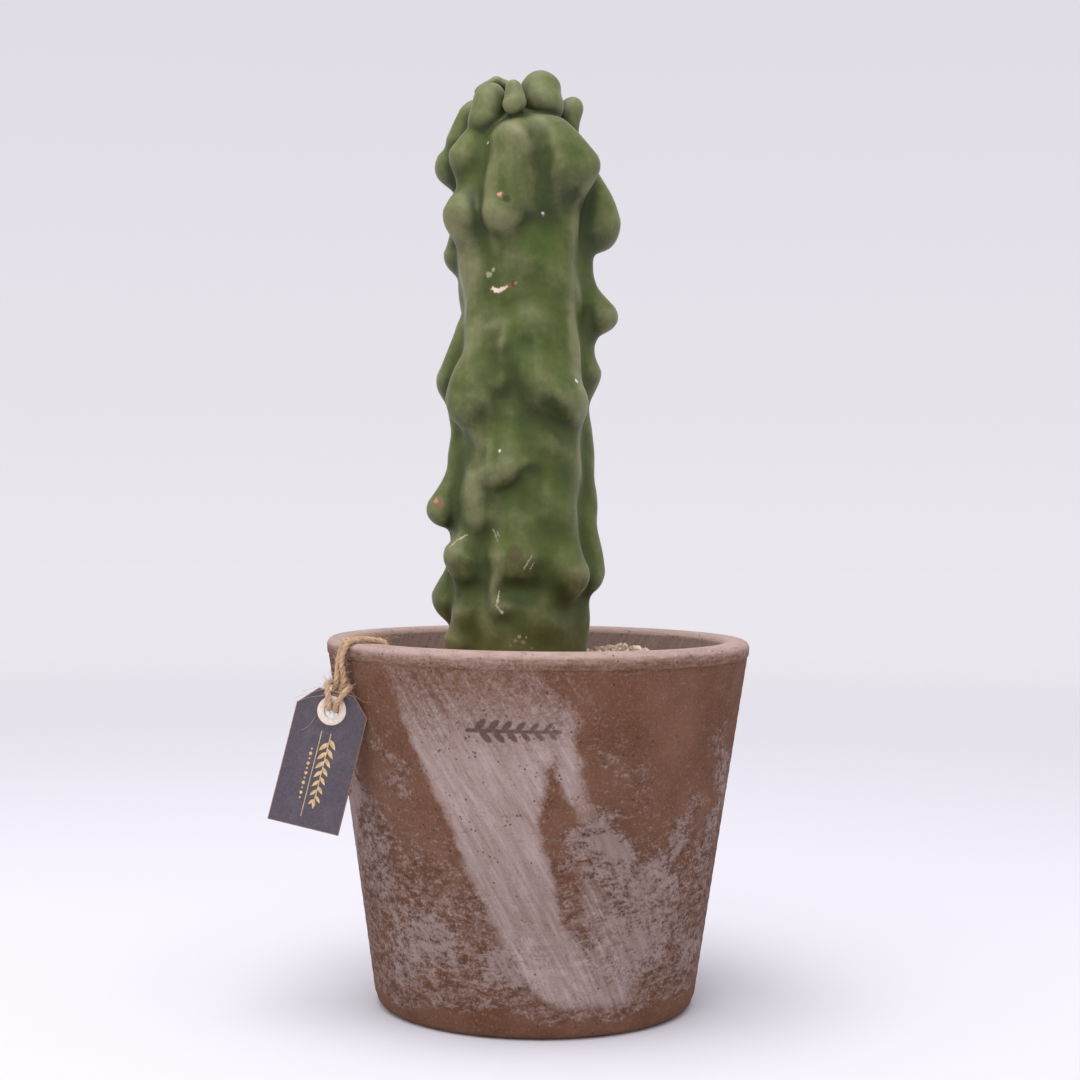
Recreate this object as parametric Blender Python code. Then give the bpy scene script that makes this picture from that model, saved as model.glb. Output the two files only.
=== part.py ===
"""Potted totem-pole cactus with a swing tag tied over the rim. Metres, +Z up, front towards -Y.

The origin is the middle of the pot's underside, on the surface that the pot stands on. Angles round the
stem and the pot are measured from the front, positive towards +X.
"""

import math

import bmesh
import bpy
import numpy as np
from mathutils import Matrix, Vector

# ---- Driving sizes ----
POT_HEIGHT = 0.1646
RIM_RADIUS = 0.0950
BASE_RADIUS = 0.0714
POT_WALL = 0.0116
FLOOR_THICKNESS = 0.0120
DRAIN_RADIUS = 0.0100
BASE_ROUNDING = 0.0046
RIM_ROUNDING = 0.0030
BAND_HEIGHT = 0.0072
BAND_STEP = 0.0008
GROOVE_DEPTH = 0.0005

GRAVEL_BELOW_RIM = 0.0120
GRAVEL_DEPTH = 0.0065
HEAP_HEIGHT = 0.0052
HEAP_SPREAD = 0.0115
HEAP_PLACE = (0.0360, 0.0200)

STEM_AXIS = Vector((-0.0090, 0.0))
STEM_HEIGHT = 0.2510
STEM_RADIUS = 0.0285
NECK_RADIUS = 0.0318
STUB_DEPTH = 0.0360
STUB_RADIUS = 0.0190
RIDGE_GIRTH = 0.0055
BACK_SWELL = 0.0020
CROWN_SHARE = 0.945
FLESH_BLEND = 0.0070
WANDER = 0.0009

TAG_WIDTH = 0.0312
TAG_TOP_WIDTH = 0.0157
TAG_SHOULDER = 0.0003
TAG_ABOVE_HOLE = 0.0083
TAG_BELOW_HOLE = 0.0505
TAG_THICKNESS = 0.0012
TAG_HOLE_RADIUS = 0.0032
TAG_LEAN = math.radians(12.3)
TAG_TIP = math.radians(8.0)
TAG_TURN = math.radians(4.0)
TAG_BELOW_RIM = 0.0286
TAG_OUTSIDE_RIM = 0.0057
PATCH_RADIUS = 0.0062
PATCH_THICKNESS = 0.0003

TWINE_RADIUS = 0.0013
TWINE_ANGLE = math.radians(-59.5)

GAP = 0.0003

# ---- Worked-out sizes ----
RIM_WALL_RADIUS = RIM_RADIUS - BAND_STEP
BAND_BOTTOM = POT_HEIGHT - BAND_HEIGHT
GRAVEL_TOP = POT_HEIGHT - GRAVEL_BELOW_RIM
SOIL_TOP = GRAVEL_TOP - GRAVEL_DEPTH - GAP
STUB_BOTTOM = GRAVEL_TOP - STUB_DEPTH
CROWN_CENTRE = GRAVEL_TOP + STEM_HEIGHT - STEM_RADIUS

# Each rib of the stem is a row of drooping noses, from the top down: angle round the stem in degrees, share
# of the stem's height, swell beyond the stem's radius, the nose's own radius, how far above the nose its back
# starts to rise, the back's lean in degrees, and the swell of the ridge that runs on below the nose.
RIBS = {
    "front": [(-12, 0.806, 0.0080, 0.0140, 0.030, 0, 0.0), (-12, 0.345, 0.0080, 0.0095, 0.022, -4, 0.0015),
              (-3, 0.192, 0.0075, 0.0110, 0.016, 4, 0.0012), (-13, 0.112, 0.0040, 0.0050, 0.008, 0, 0.0)],
    "front_right": [(50, 0.880, 0.0114, 0.0100, 0.022, -14, 0.0042),
                    (34, 0.484, 0.0080, 0.0150, 0.028, -8, 0.0),
                    (52, 0.470, 0.0066, 0.0080, 0.040, -10, 0.0022),
                    (44, 0.172, 0.0105, 0.0130, 0.028, -4, 0.0)],
    "right": [(92, 0.786, 0.0158, 0.0115, 0.030, 2, 0.0030), (90, 0.625, 0.0140, 0.0080, 0.016, 0, 0.0030),
              (93, 0.524, 0.0074, 0.0110, 0.012, 0, 0.0030), (82, 0.164, 0.0112, 0.0090, 0.050, 6, 0.0010)],
    "back_right": [(143, 0.870, 0.0105, 0.0110, 0.022, 6, 0.003),
                   (146, 0.700, 0.0115, 0.0105, 0.020, -6, 0.002),
                   (139, 0.530, 0.0090, 0.0115, 0.022, 4, 0.003),
                   (145, 0.360, 0.0120, 0.0105, 0.024, -8, 0.002),
                   (141, 0.190, 0.0100, 0.0110, 0.020, 5, 0.003)],
    "back": [(192, 0.910, 0.0070, 0.0100, 0.016, 8, 0.003), (197, 0.765, 0.0125, 0.0110, 0.026, -5, 0.003),
             (194, 0.600, 0.0095, 0.0100, 0.018, 6, 0.002), (200, 0.430, 0.0115, 0.0110, 0.024, -7, 0.003),
             (193, 0.270, 0.0085, 0.0100, 0.018, 4, 0.003), (198, 0.120, 0.0105, 0.0100, 0.020, -4, 0.002)],
    "left": [(-97, 0.896, 0.0118, 0.0100, 0.022, 0, 0.0030), (-97, 0.738, 0.0070, 0.0095, 0.010, 0, 0.0),
             (-88, 0.514, 0.0100, 0.0105, 0.020, 4, 0.0020), (-72, 0.281, 0.0142, 0.0085, 0.026, -6, 0.0010),
             (-97, 0.116, 0.0112, 0.0120, 0.016, 4, 0.0020)],
    "front_left": [(-64, 0.905, 0.0080, 0.0075, 0.018, 6, 0.0040),
                   (-57, 0.796, 0.0112, 0.0105, 0.016, -4, 0.0035),
                   (-46, 0.474, 0.0108, 0.0125, 0.026, 2, 0.0020),
                   (-55, 0.198, 0.0096, 0.0092, 0.010, 6, 0.0045),
                   (-64, 0.048, 0.0076, 0.0075, 0.014, 3, 0.0)],
}
RIDGE_BLEND = 0.0090
# Folds of flesh that belong to no rib: angle, share of the height and swell at each end, and the radius.
FOLDS = [
    ((36, 0.905, 0.0050), (30, 0.860, 0.0070), 0.0150), ((-18, 0.590, 0.0022), (-19, 0.510, 0.0026), 0.0045),
    ((-34, 0.420, 0.0030), (-38, 0.270, 0.0034), 0.0050), ((8, 0.300, 0.0022), (18, 0.090, 0.0032), 0.0100),
    ((25, 0.380, 0.0040), (32, 0.280, 0.0044), 0.0120), ((112, 0.420, 0.0030), (110, 0.230, 0.0034), 0.0110),
]
# Creases pressed into the flesh, given as the folds are, with the depth below the stem's radius.
CREASES = [
    ((-31, 0.575, 0.0010), (-27, 0.550, 0.0016), 0.0042), ((1, 0.560, 0.0006), (-2, 0.530, 0.0004), 0.0040),
    ((9, 0.330, 0.0018), (8, 0.290, 0.0018), 0.0036), ((22, 0.830, 0.0010), (17, 0.900, 0.0010), 0.0040),
    ((14, 0.270, 0.0012), (12, 0.170, 0.0012), 0.0036), ((-37, 0.930, 0.0000), (-38, 0.850, 0.0016), 0.0042),
]
CREASE_BLEND = 0.0050
# The young noses of the crown, as swept balls: start, radius, end, radius, measured from the crown's centre.
CROWN_KNOBS = [
    ((-0.0038, -0.0178, 0.0245), 0.0058, (-0.0034, -0.0160, 0.0310), 0.0045),
    ((0.0078, -0.0030, 0.0352), 0.0092, (0.0098, -0.0085, 0.0255), 0.0092),
    ((-0.0142, -0.0110, 0.0302), 0.0068, (-0.0165, -0.0160, 0.0190), 0.0078),
    ((0.0208, 0.0050, 0.0270), 0.0066, (0.0178, 0.0060, 0.0130), 0.0075),
    ((0.0020, 0.0150, 0.0270), 0.0085, (0.0030, 0.0220, 0.0150), 0.0090),
    ((-0.0140, 0.0110, 0.0280), 0.0078, (-0.0200, 0.0150, 0.0130), 0.0085),
    ((-0.0220, 0.0030, 0.0240), 0.0070, (-0.0260, 0.0020, 0.0120), 0.0090),
]
KNOB_BLEND = 0.0060


# ---- Shared helpers ----
def material(name, colour, roughness, metallic=0.0):
    made = bpy.data.materials.new(name)
    made.use_nodes = True
    shader = made.node_tree.nodes["Principled BSDF"]
    shader.inputs["Base Color"].default_value = (*colour, 1.0)
    shader.inputs["Roughness"].default_value = roughness
    shader.inputs["Metallic"].default_value = metallic
    return made


def new_object(name, mesh, surface=None):
    made = bpy.data.objects.new(name, mesh)
    bpy.context.scene.collection.objects.link(made)
    if surface:
        mesh.materials.append(surface)
    return made


def mesh_from_bmesh(name, shape):
    bmesh.ops.recalc_face_normals(shape, faces=shape.faces)
    mesh = bpy.data.meshes.new(name)
    shape.to_mesh(mesh)
    shape.free()
    mesh.shade_smooth()
    mesh.set_sharp_from_angle(angle=math.radians(40))
    return mesh


def arc(centre_radius, centre_height, radius, start, end, steps):
    """Points of a rounded corner of a turned profile, from the start to the end angle in degrees."""
    angles = [math.radians(start + (end - start) * step / steps) for step in range(steps + 1)]
    return [(centre_radius + radius * math.cos(a), centre_height + radius * math.sin(a)) for a in angles]


def turned(name, profile, segments, closed):
    """A mesh of revolution round +Z. A closed profile is a ring's section, an open one ends on the axis."""
    shape = bmesh.new()
    points = [shape.verts.new((radius, 0.0, height)) for radius, height in profile]
    count = len(points)
    edges = [shape.edges.new((points[i], points[(i + 1) % count])) for i in range(count - (not closed))]
    bmesh.ops.spin(shape, geom=points + edges, cent=(0, 0, 0), axis=(0, 0, 1), angle=2 * math.pi,
                   steps=segments, use_merge=True)
    bmesh.ops.remove_doubles(shape, verts=shape.verts, dist=1e-6)
    return mesh_from_bmesh(name, shape)


def rows_to_mesh(name, rows, foot=None, top=None, closed=False):
    """A skin over rows of points that run round the same way, closed by end points or as a ring."""
    shape = bmesh.new()
    rings = [[shape.verts.new(point) for point in row] for row in rows]
    count = len(rings[0])
    following = rings[1:] + rings[:1] if closed else rings[1:]
    for ring, above in zip(rings, following):
        for i in range(count):
            shape.faces.new((ring[i], ring[(i + 1) % count], above[(i + 1) % count], above[i]))
    for ring, end in ((rings[0], foot), (rings[-1], top)):
        if end is not None:
            tip = shape.verts.new(end)
            for i in range(count):
                shape.faces.new((ring[i], ring[(i + 1) % count], tip))
    return mesh_from_bmesh(name, shape)


def cut(target, cutter):
    cutter.hide_render = True
    cutter.display_type = "WIRE"
    boolean = target.modifiers.new("cut", "BOOLEAN")
    boolean.operation = "DIFFERENCE"
    boolean.object = cutter


for old in list(bpy.data.objects):
    bpy.data.objects.remove(old, do_unlink=True)


# ---- Pot: one tapered terracotta shell with a proud rim band and a drainage hole ----
def wall_radius(height):
    """The outer face's radius, on the straight taper below the rim band."""
    return BASE_RADIUS + (RIM_WALL_RADIUS - BASE_RADIUS) * height / BAND_BOTTOM


def inner_radius(height):
    return wall_radius(height) - POT_WALL


def pot():
    rim_middle = POT_HEIGHT - RIM_ROUNDING
    inner_rim = inner_radius(rim_middle)
    profile = [(DRAIN_RADIUS, 0.0)]
    profile += arc(BASE_RADIUS - BASE_ROUNDING, BASE_ROUNDING, BASE_ROUNDING, -90, -8, 4)
    profile += [(wall_radius(BAND_BOTTOM / 2), BAND_BOTTOM / 2),
                (wall_radius(BAND_BOTTOM - 3 * GROOVE_DEPTH), BAND_BOTTOM - 3 * GROOVE_DEPTH),
                (wall_radius(BAND_BOTTOM) - GROOVE_DEPTH, BAND_BOTTOM - GROOVE_DEPTH),
                (RIM_RADIUS - BAND_STEP / 4, BAND_BOTTOM + BAND_STEP)]
    profile += arc(RIM_RADIUS - RIM_ROUNDING, rim_middle, RIM_ROUNDING, 0, 90, 4)
    profile += arc(inner_rim + RIM_ROUNDING, rim_middle, RIM_ROUNDING, 90, 180, 4)
    profile += [(inner_radius(FLOOR_THICKNESS), FLOOR_THICKNESS), (DRAIN_RADIUS, FLOOR_THICKNESS)]
    clay = material("terracotta", (0.19, 0.115, 0.085), 0.9)
    return new_object("pot", turned("pot", profile, 64, closed=True), clay)


# ---- Stem: one grown piece, a core with ribs of drooping noses, a crown of knobs and a buried stub ----
def on_stem(angle, height, radius):
    """The point at an angle in degrees round the stem's axis, a height and a distance from the axis."""
    turn = math.radians(angle)
    return (STEM_AXIS.x + radius * math.sin(turn), STEM_AXIS.y - radius * math.cos(turn), height)


def swell_point(angle, share, swell, inwards):
    """A ball's centre, that far inside the skin point with that swell beyond the stem's radius."""
    return np.array(on_stem(angle, GRAVEL_TOP + STEM_HEIGHT * share, STEM_RADIUS + swell - inwards))


def stem_pieces():
    """The stem's swept balls: start, start radius, end, end radius, and how softly each melts in."""
    crown = np.array((*STEM_AXIS, CROWN_CENTRE))
    pieces = [(np.array((*STEM_AXIS, 0.0)), STEM_RADIUS + 0.001, crown, STEM_RADIUS - 0.001, FLESH_BLEND)]
    for noses in RIBS.values():
        ridge = None
        for angle, share, swell, girth, rise, lean, crest in noses:
            back_girth = girth * 0.6
            back_share = min(share + rise / STEM_HEIGHT, CROWN_SHARE)
            back_swell = BACK_SWELL if back_share < CROWN_SHARE else 0
            nose = swell_point(angle, share, swell, girth)
            back = swell_point(angle + lean, back_share, back_swell, back_girth)
            pieces.append((back, back_girth, nose, girth, FLESH_BLEND))
            if ridge is not None:
                pieces.append((ridge, RIDGE_GIRTH, back, RIDGE_GIRTH, RIDGE_BLEND))
            ridge = swell_point(angle, share - girth / STEM_HEIGHT, crest, RIDGE_GIRTH) if crest else None
        if ridge is not None:
            soil_end = swell_point(noses[-1][0], 0, noses[-1][-1], RIDGE_GIRTH)
            pieces.append((ridge, RIDGE_GIRTH, soil_end, RIDGE_GIRTH, RIDGE_BLEND))
    for start, end, girth in FOLDS:
        pieces.append((swell_point(*start, girth), girth, swell_point(*end, girth), girth, RIDGE_BLEND))
    for start, start_radius, end, end_radius in CROWN_KNOBS:
        pieces.append((crown + start, start_radius, crown + end, end_radius, KNOB_BLEND))
    return pieces


def distance_to_piece(points, start, start_radius, end, end_radius):
    along = end - start
    share = np.clip((points - start) @ along / (along @ along), 0, 1)
    apart = np.linalg.norm(points - start - share[:, None] * along, axis=1)
    return apart - start_radius - share * (end_radius - start_radius)


def melted(first, second, softness):
    """The nearer of two distances, rounded over where they are about equal."""
    melt = np.maximum(softness - np.abs(first - second), 0) / softness
    return np.minimum(first, second) - melt * melt * softness / 4


def wandering(points):
    """The points pushed a little off their place by slow waves, so that no rib runs straight."""
    x, y, z = points.T
    push = np.stack([np.sin(z * 97 + y * 61 + 0.8) + 0.5 * np.sin(z * 233 + y * 171 + 2.1),
                     np.sin(z * 113 + x * 73 + 2.4) + 0.5 * np.sin(z * 251 + x * 187 + 0.3),
                     np.sin(x * 131 + y * 89 + 1.7) + 0.5 * np.sin(x * 263 + y * 211 + z * 97 + 4.0)], axis=1)
    return points + WANDER * push


def distance_to_stem(points, pieces):
    """Distance from each point to the stem's skin, negative inside."""
    points = wandering(points)
    total = distance_to_piece(points, *pieces[0][:4])
    for *piece, softness in pieces[1:]:
        total = melted(total, distance_to_piece(points, *piece), softness)
    for *ends, girth in CREASES:
        start, end = (swell_point(*place, -girth) for place in ends)
        pressed = distance_to_piece(points, start, girth, end, girth)
        total = -melted(-total, pressed, CREASE_BLEND)
    return total


def skin_points(columns, row_step, crown_rows):
    """Rows of points on the stem's skin: level rows up the stem, then rows fanned out over the crown."""
    turns = np.arange(columns) * 2 * math.pi / columns
    level_rows = round((CROWN_CENTRE - GRAVEL_TOP) / row_step)
    heights = np.linspace(GRAVEL_TOP + row_step, CROWN_CENTRE, level_rows)
    rises = np.linspace(0, math.pi / 2, crown_rows + 2)[1:-1]
    origins = [(height, 0.0) for height in heights] + [(CROWN_CENTRE, rise) for rise in rises]
    height, rise = np.array(origins + [(CROWN_CENTRE, math.pi / 2)]).T
    start = np.stack([np.full_like(height, STEM_AXIS.x), np.full_like(height, STEM_AXIS.y), height], axis=1)
    flat = np.stack([np.sin(turns), -np.cos(turns), np.zeros(columns)], axis=1)
    way = flat[None] * np.cos(rise)[:, None, None] + np.array((0, 0, 1.0)) * np.sin(rise)[:, None, None]
    start, way = np.repeat(start, columns, axis=0), way.reshape(-1, 3)
    pieces = stem_pieces()
    reach = np.full(len(way), STEM_RADIUS * 2.5)
    for _ in range(50):
        reach -= 0.7 * distance_to_stem(start + reach[:, None] * way, pieces)
    return (start + reach[:, None] * way).reshape(-1, columns, 3)


def stub_profile(clearance):
    """The buried foot's turned outline, from its end on the axis up to the gravel's top."""
    side = [(NECK_RADIUS, GRAVEL_TOP), (NECK_RADIUS, SOIL_TOP),
            (NECK_RADIUS * 0.8, SOIL_TOP - STUB_DEPTH * 0.4),
            (STUB_RADIUS, STUB_BOTTOM + STUB_RADIUS * 0.25), (STUB_RADIUS * 0.6, STUB_BOTTOM)]
    grown = [(radius + clearance, height) for radius, height in side]
    return [(0.0, STUB_BOTTOM - clearance), (grown[-1][0], STUB_BOTTOM - clearance)] + grown[-2::-1]


def cactus():
    columns = 44
    skin = skin_points(columns, 0.0042, 12)
    stub = [[on_stem(i * 360 / columns, height, radius) for i in range(columns)]
            for radius, height in stub_profile(0.0)[1:]]
    foot = (*STEM_AXIS, STUB_BOTTOM)
    mesh = rows_to_mesh("cactus", stub + list(skin[:-1]), foot=foot, top=skin[-1].mean(axis=0))
    return new_object("cactus", mesh, material("cactus_skin", (0.13, 0.19, 0.07), 0.55))


# ---- Soil and gravel: what fills the pot round the stem's foot ----
def potting_soil():
    floor = FLOOR_THICKNESS + GAP
    profile = [(0.0, floor), (inner_radius(floor) - GAP, floor), (inner_radius(SOIL_TOP) - GAP, SOIL_TOP),
               (0.0, SOIL_TOP)]
    soil = new_object("potting_soil", turned("potting_soil", profile, 64, closed=False),
                      material("soil", (0.045, 0.03, 0.02), 1.0))
    above_soil = GRAVEL_TOP + GAP
    socket_profile = stub_profile(GAP) + [(NECK_RADIUS + GAP, above_soil), (0.0, above_soil)]
    socket = new_object("socket_cutter", turned("socket_cutter", socket_profile, 44, closed=False))
    socket.location = (*STEM_AXIS, 0.0)
    cut(soil, socket)
    return soil


def gravel_height(x, y):
    """The top dressing's surface: nearly level, heaped behind the stem's right side, low bumps all over."""
    heap = math.exp(-((x - HEAP_PLACE[0]) ** 2 + (y - HEAP_PLACE[1]) ** 2) / (2 * HEAP_SPREAD**2))
    bumps = math.sin(x * 700 + 1.0) * math.sin(y * 620 + 2.0) + 0.6 * math.sin(x * 1250 + y * 900)
    return GRAVEL_TOP + HEAP_HEIGHT * heap + 0.0004 * bumps


def top_gravel():
    columns = 56
    floor = SOIL_TOP + GAP
    edge, floor_edge = (inner_radius(height) - 2 * GAP for height in (GRAVEL_TOP, floor))
    rows = []
    for share in (0.0, 0.18, 0.36, 0.54, 0.72, 0.88, 1.0):
        row = []
        for i in range(columns):
            turn = 2 * math.pi * i / columns
            near = Vector(on_stem(math.degrees(turn), 0.0, NECK_RADIUS + GAP))
            far = Vector((edge * math.sin(turn), -edge * math.cos(turn), 0.0))
            point = near.lerp(far, share)
            height = gravel_height(point.x, point.y) if share else GRAVEL_TOP - GAP
            row.append((point.x, point.y, height))
        rows.append(row)
    rows.append([(x * floor_edge / edge, y * floor_edge / edge, floor) for x, y, _ in rows[-1]])
    rows.append([(x, y, floor) for x, y, _ in rows[0]])
    mesh = rows_to_mesh("top_gravel", rows, closed=True)
    return new_object("top_gravel", mesh, material("pale_gravel", (0.55, 0.46, 0.38), 0.85))


# ---- Tag: a stiff card with cut corners, and a ring patch glued round its hole on each face ----
def tag_place():
    """The hole's centre and the card's directions: right, up and out of its face. The card's right shoulder
    stands against the pot's wall."""
    turned_card = (Matrix.Rotation(-TAG_TURN, 3, "Z") @ Matrix.Rotation(-TAG_TIP, 3, "X")
                   @ Matrix.Rotation(TAG_LEAN, 3, "Y"))
    right, up = turned_card @ Vector((1, 0, 0)), turned_card @ Vector((0, 0, 1))
    out = right.cross(up)
    x = RIM_RADIUS * math.sin(TWINE_ANGLE) - TAG_OUTSIDE_RIM
    z = POT_HEIGHT - TAG_BELOW_RIM
    shoulder = right * TAG_WIDTH / 2 + up * TAG_SHOULDER - out * TAG_THICKNESS / 2
    wall = wall_radius(z + shoulder.z)
    y = -math.sqrt(wall**2 - (x + shoulder.x) ** 2) - shoulder.y - GAP
    return Vector((x, y, z)), right, up, out


def tag_matrix():
    hole, right, up, out = tag_place()
    axes = Matrix((right, up, out)).transposed().to_4x4()
    return Matrix.Translation(hole) @ axes


def ring(name, inner, outer, bottom, top, surface):
    profile = [(inner, bottom), (outer, bottom), (outer, top), (inner, top)]
    return new_object(name, turned(name, profile, 32, closed=True), surface)


def tag():
    place = tag_matrix()
    half, top_half = TAG_WIDTH / 2, TAG_TOP_WIDTH / 2
    outline = [(-half, -TAG_BELOW_HOLE), (half, -TAG_BELOW_HOLE), (half, TAG_SHOULDER),
               (top_half, TAG_ABOVE_HOLE), (-top_half, TAG_ABOVE_HOLE), (-half, TAG_SHOULDER)]
    shape = bmesh.new()
    face = shape.faces.new([shape.verts.new((x, y, -TAG_THICKNESS / 2)) for x, y in outline])
    raised = bmesh.ops.extrude_face_region(shape, geom=[face])["geom"]
    bmesh.ops.translate(shape, verts=[v for v in raised if isinstance(v, bmesh.types.BMVert)],
                        vec=(0, 0, TAG_THICKNESS))
    card = new_object("tag_card", mesh_from_bmesh("tag_card", shape),
                      material("slate_card", (0.07, 0.07, 0.09), 0.6))
    card.matrix_world = place
    punch_profile = [(0.0, -TAG_THICKNESS), (TAG_HOLE_RADIUS, -TAG_THICKNESS),
                     (TAG_HOLE_RADIUS, TAG_THICKNESS), (0.0, TAG_THICKNESS)]
    punch = new_object("hole_cutter", turned("hole_cutter", punch_profile, 32, closed=False))
    punch.matrix_world = place
    cut(card, punch)
    paper = material("cream_paper", (0.78, 0.72, 0.62), 0.8)
    inside, outside = TAG_THICKNESS / 2 + GAP, TAG_THICKNESS / 2 + GAP + PATCH_THICKNESS
    for name, low, high in (("tag_patch_front", inside, outside), ("tag_patch_back", -outside, -inside)):
        ring(name, TAG_HOLE_RADIUS, PATCH_RADIUS, low, high, paper).matrix_world = place


# ---- Twine: one jute cord, doubled over the rim and hitched through the tag's hole ----
# Route points from one end to the other. "rim" points are (across, along, above): millimetres outwards from
# the rim's outer edge, sideways along the rim and above its top, where the cord crosses it. "tag" points are
# millimetres right, up and out of the card's face from its hole.
ROUTE = [
    ("rim", (-31.5, 18.5, -9.7)), ("rim", (-25.5, 17.0, -9.7)), ("rim", (-19.5, 14.0, -9.3)),
    ("rim", (-15.6, 11.4, -6.6)), ("rim", (-14.3, 10.6, -2.6)), ("rim", (-12.5, 9.6, 0.5)),
    ("rim", (-6.2, 6.1, 1.7)), ("rim", (0.0, 2.7, 0.9)), ("rim", (2.0, 1.8, -2.6)),
    ("rim", (3.3, 1.4, -8.0)),
    ("tag", (1.60, 13.6, -1.4)), ("tag", (1.50, 9.8, -2.0)), ("tag", (1.46, 5.6, -2.9)),
    ("tag", (1.46, 2.2, -2.7)), ("tag", (1.46, 0.5, 0.0)), ("tag", (1.50, 2.2, 2.7)),
    ("tag", (2.40, 5.2, 2.9)), ("tag", (3.75, 8.6, 2.5)), ("tag", (4.70, 10.9, -0.2)),
    ("tag", (3.60, 11.9, -3.6)), ("tag", (0.00, 12.3, -5.0)), ("tag", (-3.60, 11.9, -3.6)),
    ("tag", (-4.70, 10.9, -0.2)), ("tag", (-3.75, 8.6, 2.5)), ("tag", (-2.40, 5.2, 2.9)),
    ("tag", (-1.50, 2.2, 2.7)), ("tag", (-1.46, 0.5, 0.0)), ("tag", (-1.46, 2.2, -2.7)),
    ("tag", (-1.46, 5.6, -2.9)), ("tag", (-1.50, 9.8, -2.0)), ("tag", (-1.60, 13.6, -1.4)),
    ("rim", (3.3, -1.7, -8.0)), ("rim", (2.0, -1.5, -2.6)), ("rim", (0.1, -0.8, 0.9)),
    ("rim", (-6.0, 2.4, 1.7)), ("rim", (-12.4, 6.0, 0.5)), ("rim", (-13.9, 7.2, -2.6)),
    ("rim", (-15.0, 6.6, -6.6)), ("rim", (-18.6, 5.6, -9.3)), ("rim", (-25.0, 4.0, -9.7)),
    ("rim", (-31.0, 0.0, -9.7)),
]


def route_points():
    outwards = Vector((math.sin(TWINE_ANGLE), -math.cos(TWINE_ANGLE), 0.0))
    along = Vector((-outwards.y, outwards.x, 0.0))
    crossing = outwards * RIM_RADIUS + Vector((0, 0, POT_HEIGHT))
    hole, right, up, out = tag_place()
    frames = {"rim": (crossing, outwards, along, Vector((0, 0, 1))), "tag": (hole, right, up, out)}
    points = []
    for frame, offset in ROUTE:
        start, *axes = frames[frame]
        points.append(start + sum((axis * step / 1000 for axis, step in zip(axes, offset)), Vector()))
    return points


def smooth_through(points, steps):
    """Points along a centripetal curve that passes through every given point."""
    ends = [points[0] * 2 - points[1], *points, points[-1] * 2 - points[-2]]
    found = []
    for a, b, c, d in zip(ends, ends[1:], ends[2:], ends[3:]):
        at_b = math.sqrt((b - a).length)
        at_c = at_b + math.sqrt((c - b).length)
        at_d = at_c + math.sqrt((d - c).length)
        for step in range(steps):
            t = at_b + (at_c - at_b) * step / steps
            share = (t - at_b) / (at_c - at_b)
            ab, bc, cd = a.lerp(b, t / at_b), b.lerp(c, share), c.lerp(d, (t - at_c) / (at_d - at_c))
            abc, bcd = ab.lerp(bc, t / at_c), bc.lerp(cd, (t - at_b) / (at_d - at_b))
            found.append(abc.lerp(bcd, share))
    return found + [points[-1]]


def twine():
    curve = bpy.data.curves.new("twine", "CURVE")
    curve.dimensions = "3D"
    curve.bevel_depth = TWINE_RADIUS
    curve.bevel_resolution = 2
    curve.use_fill_caps = True
    path = smooth_through(route_points(), 2)
    spline = curve.splines.new("POLY")
    spline.points.add(len(path) - 1)
    for point, place in zip(spline.points, path):
        point.co = (*place, 1.0)
    curve.materials.append(material("jute", (0.50, 0.36, 0.20), 0.95))
    return new_object("twine", curve)


pot()
potting_soil()
top_gravel()
cactus()
tag()
twine()
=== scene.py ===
"""A totem-pole cactus in a bloomed clay pot, with a swing tag tied over the rim.

Metres, +Z up, front towards -Y. Angles round the pot and the stem are measured from the front, positive
towards +X.
"""

import math

import bmesh
import bpy
import numpy as np
from mathutils import Matrix, Vector


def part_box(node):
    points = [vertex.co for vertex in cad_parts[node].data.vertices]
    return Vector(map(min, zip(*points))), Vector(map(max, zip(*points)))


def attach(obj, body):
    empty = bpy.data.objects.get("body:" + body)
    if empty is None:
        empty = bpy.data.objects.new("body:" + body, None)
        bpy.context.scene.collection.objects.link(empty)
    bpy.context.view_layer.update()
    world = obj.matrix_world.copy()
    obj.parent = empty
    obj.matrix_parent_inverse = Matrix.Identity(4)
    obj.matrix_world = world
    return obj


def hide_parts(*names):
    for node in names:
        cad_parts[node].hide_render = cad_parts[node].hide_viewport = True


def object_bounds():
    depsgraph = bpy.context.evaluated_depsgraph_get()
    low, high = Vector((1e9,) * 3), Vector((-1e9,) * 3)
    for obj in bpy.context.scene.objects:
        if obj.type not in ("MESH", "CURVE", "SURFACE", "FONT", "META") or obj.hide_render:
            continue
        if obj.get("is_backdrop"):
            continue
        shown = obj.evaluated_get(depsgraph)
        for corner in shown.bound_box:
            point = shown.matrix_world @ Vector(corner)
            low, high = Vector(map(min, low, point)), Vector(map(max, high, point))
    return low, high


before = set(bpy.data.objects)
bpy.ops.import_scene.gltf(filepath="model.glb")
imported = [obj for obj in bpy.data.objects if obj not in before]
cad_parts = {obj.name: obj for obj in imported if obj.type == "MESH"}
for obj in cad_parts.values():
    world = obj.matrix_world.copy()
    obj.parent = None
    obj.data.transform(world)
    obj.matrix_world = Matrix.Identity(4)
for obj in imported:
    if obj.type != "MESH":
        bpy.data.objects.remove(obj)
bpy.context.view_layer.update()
MM = 0.001


# ---- Camera ----
# A short telephoto at table height, a little under a metre off, tipped down about one degree.
camera = bpy.data.objects.new("camera", bpy.data.cameras.new("camera"))
bpy.context.scene.collection.objects.link(camera)
camera.data.sensor_width = 36.0
camera.data.lens = 66.33
camera.matrix_world = (
    Matrix.Translation((0.00027, -0.900, 0.2255))
    @ Matrix.Rotation(math.pi / 2 - 0.0187, 4, "X")
    @ Matrix.Rotation(0.0105, 4, "Z")
)
bpy.context.scene.camera = camera
bpy.context.scene.view_settings.view_transform = "Standard"


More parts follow.
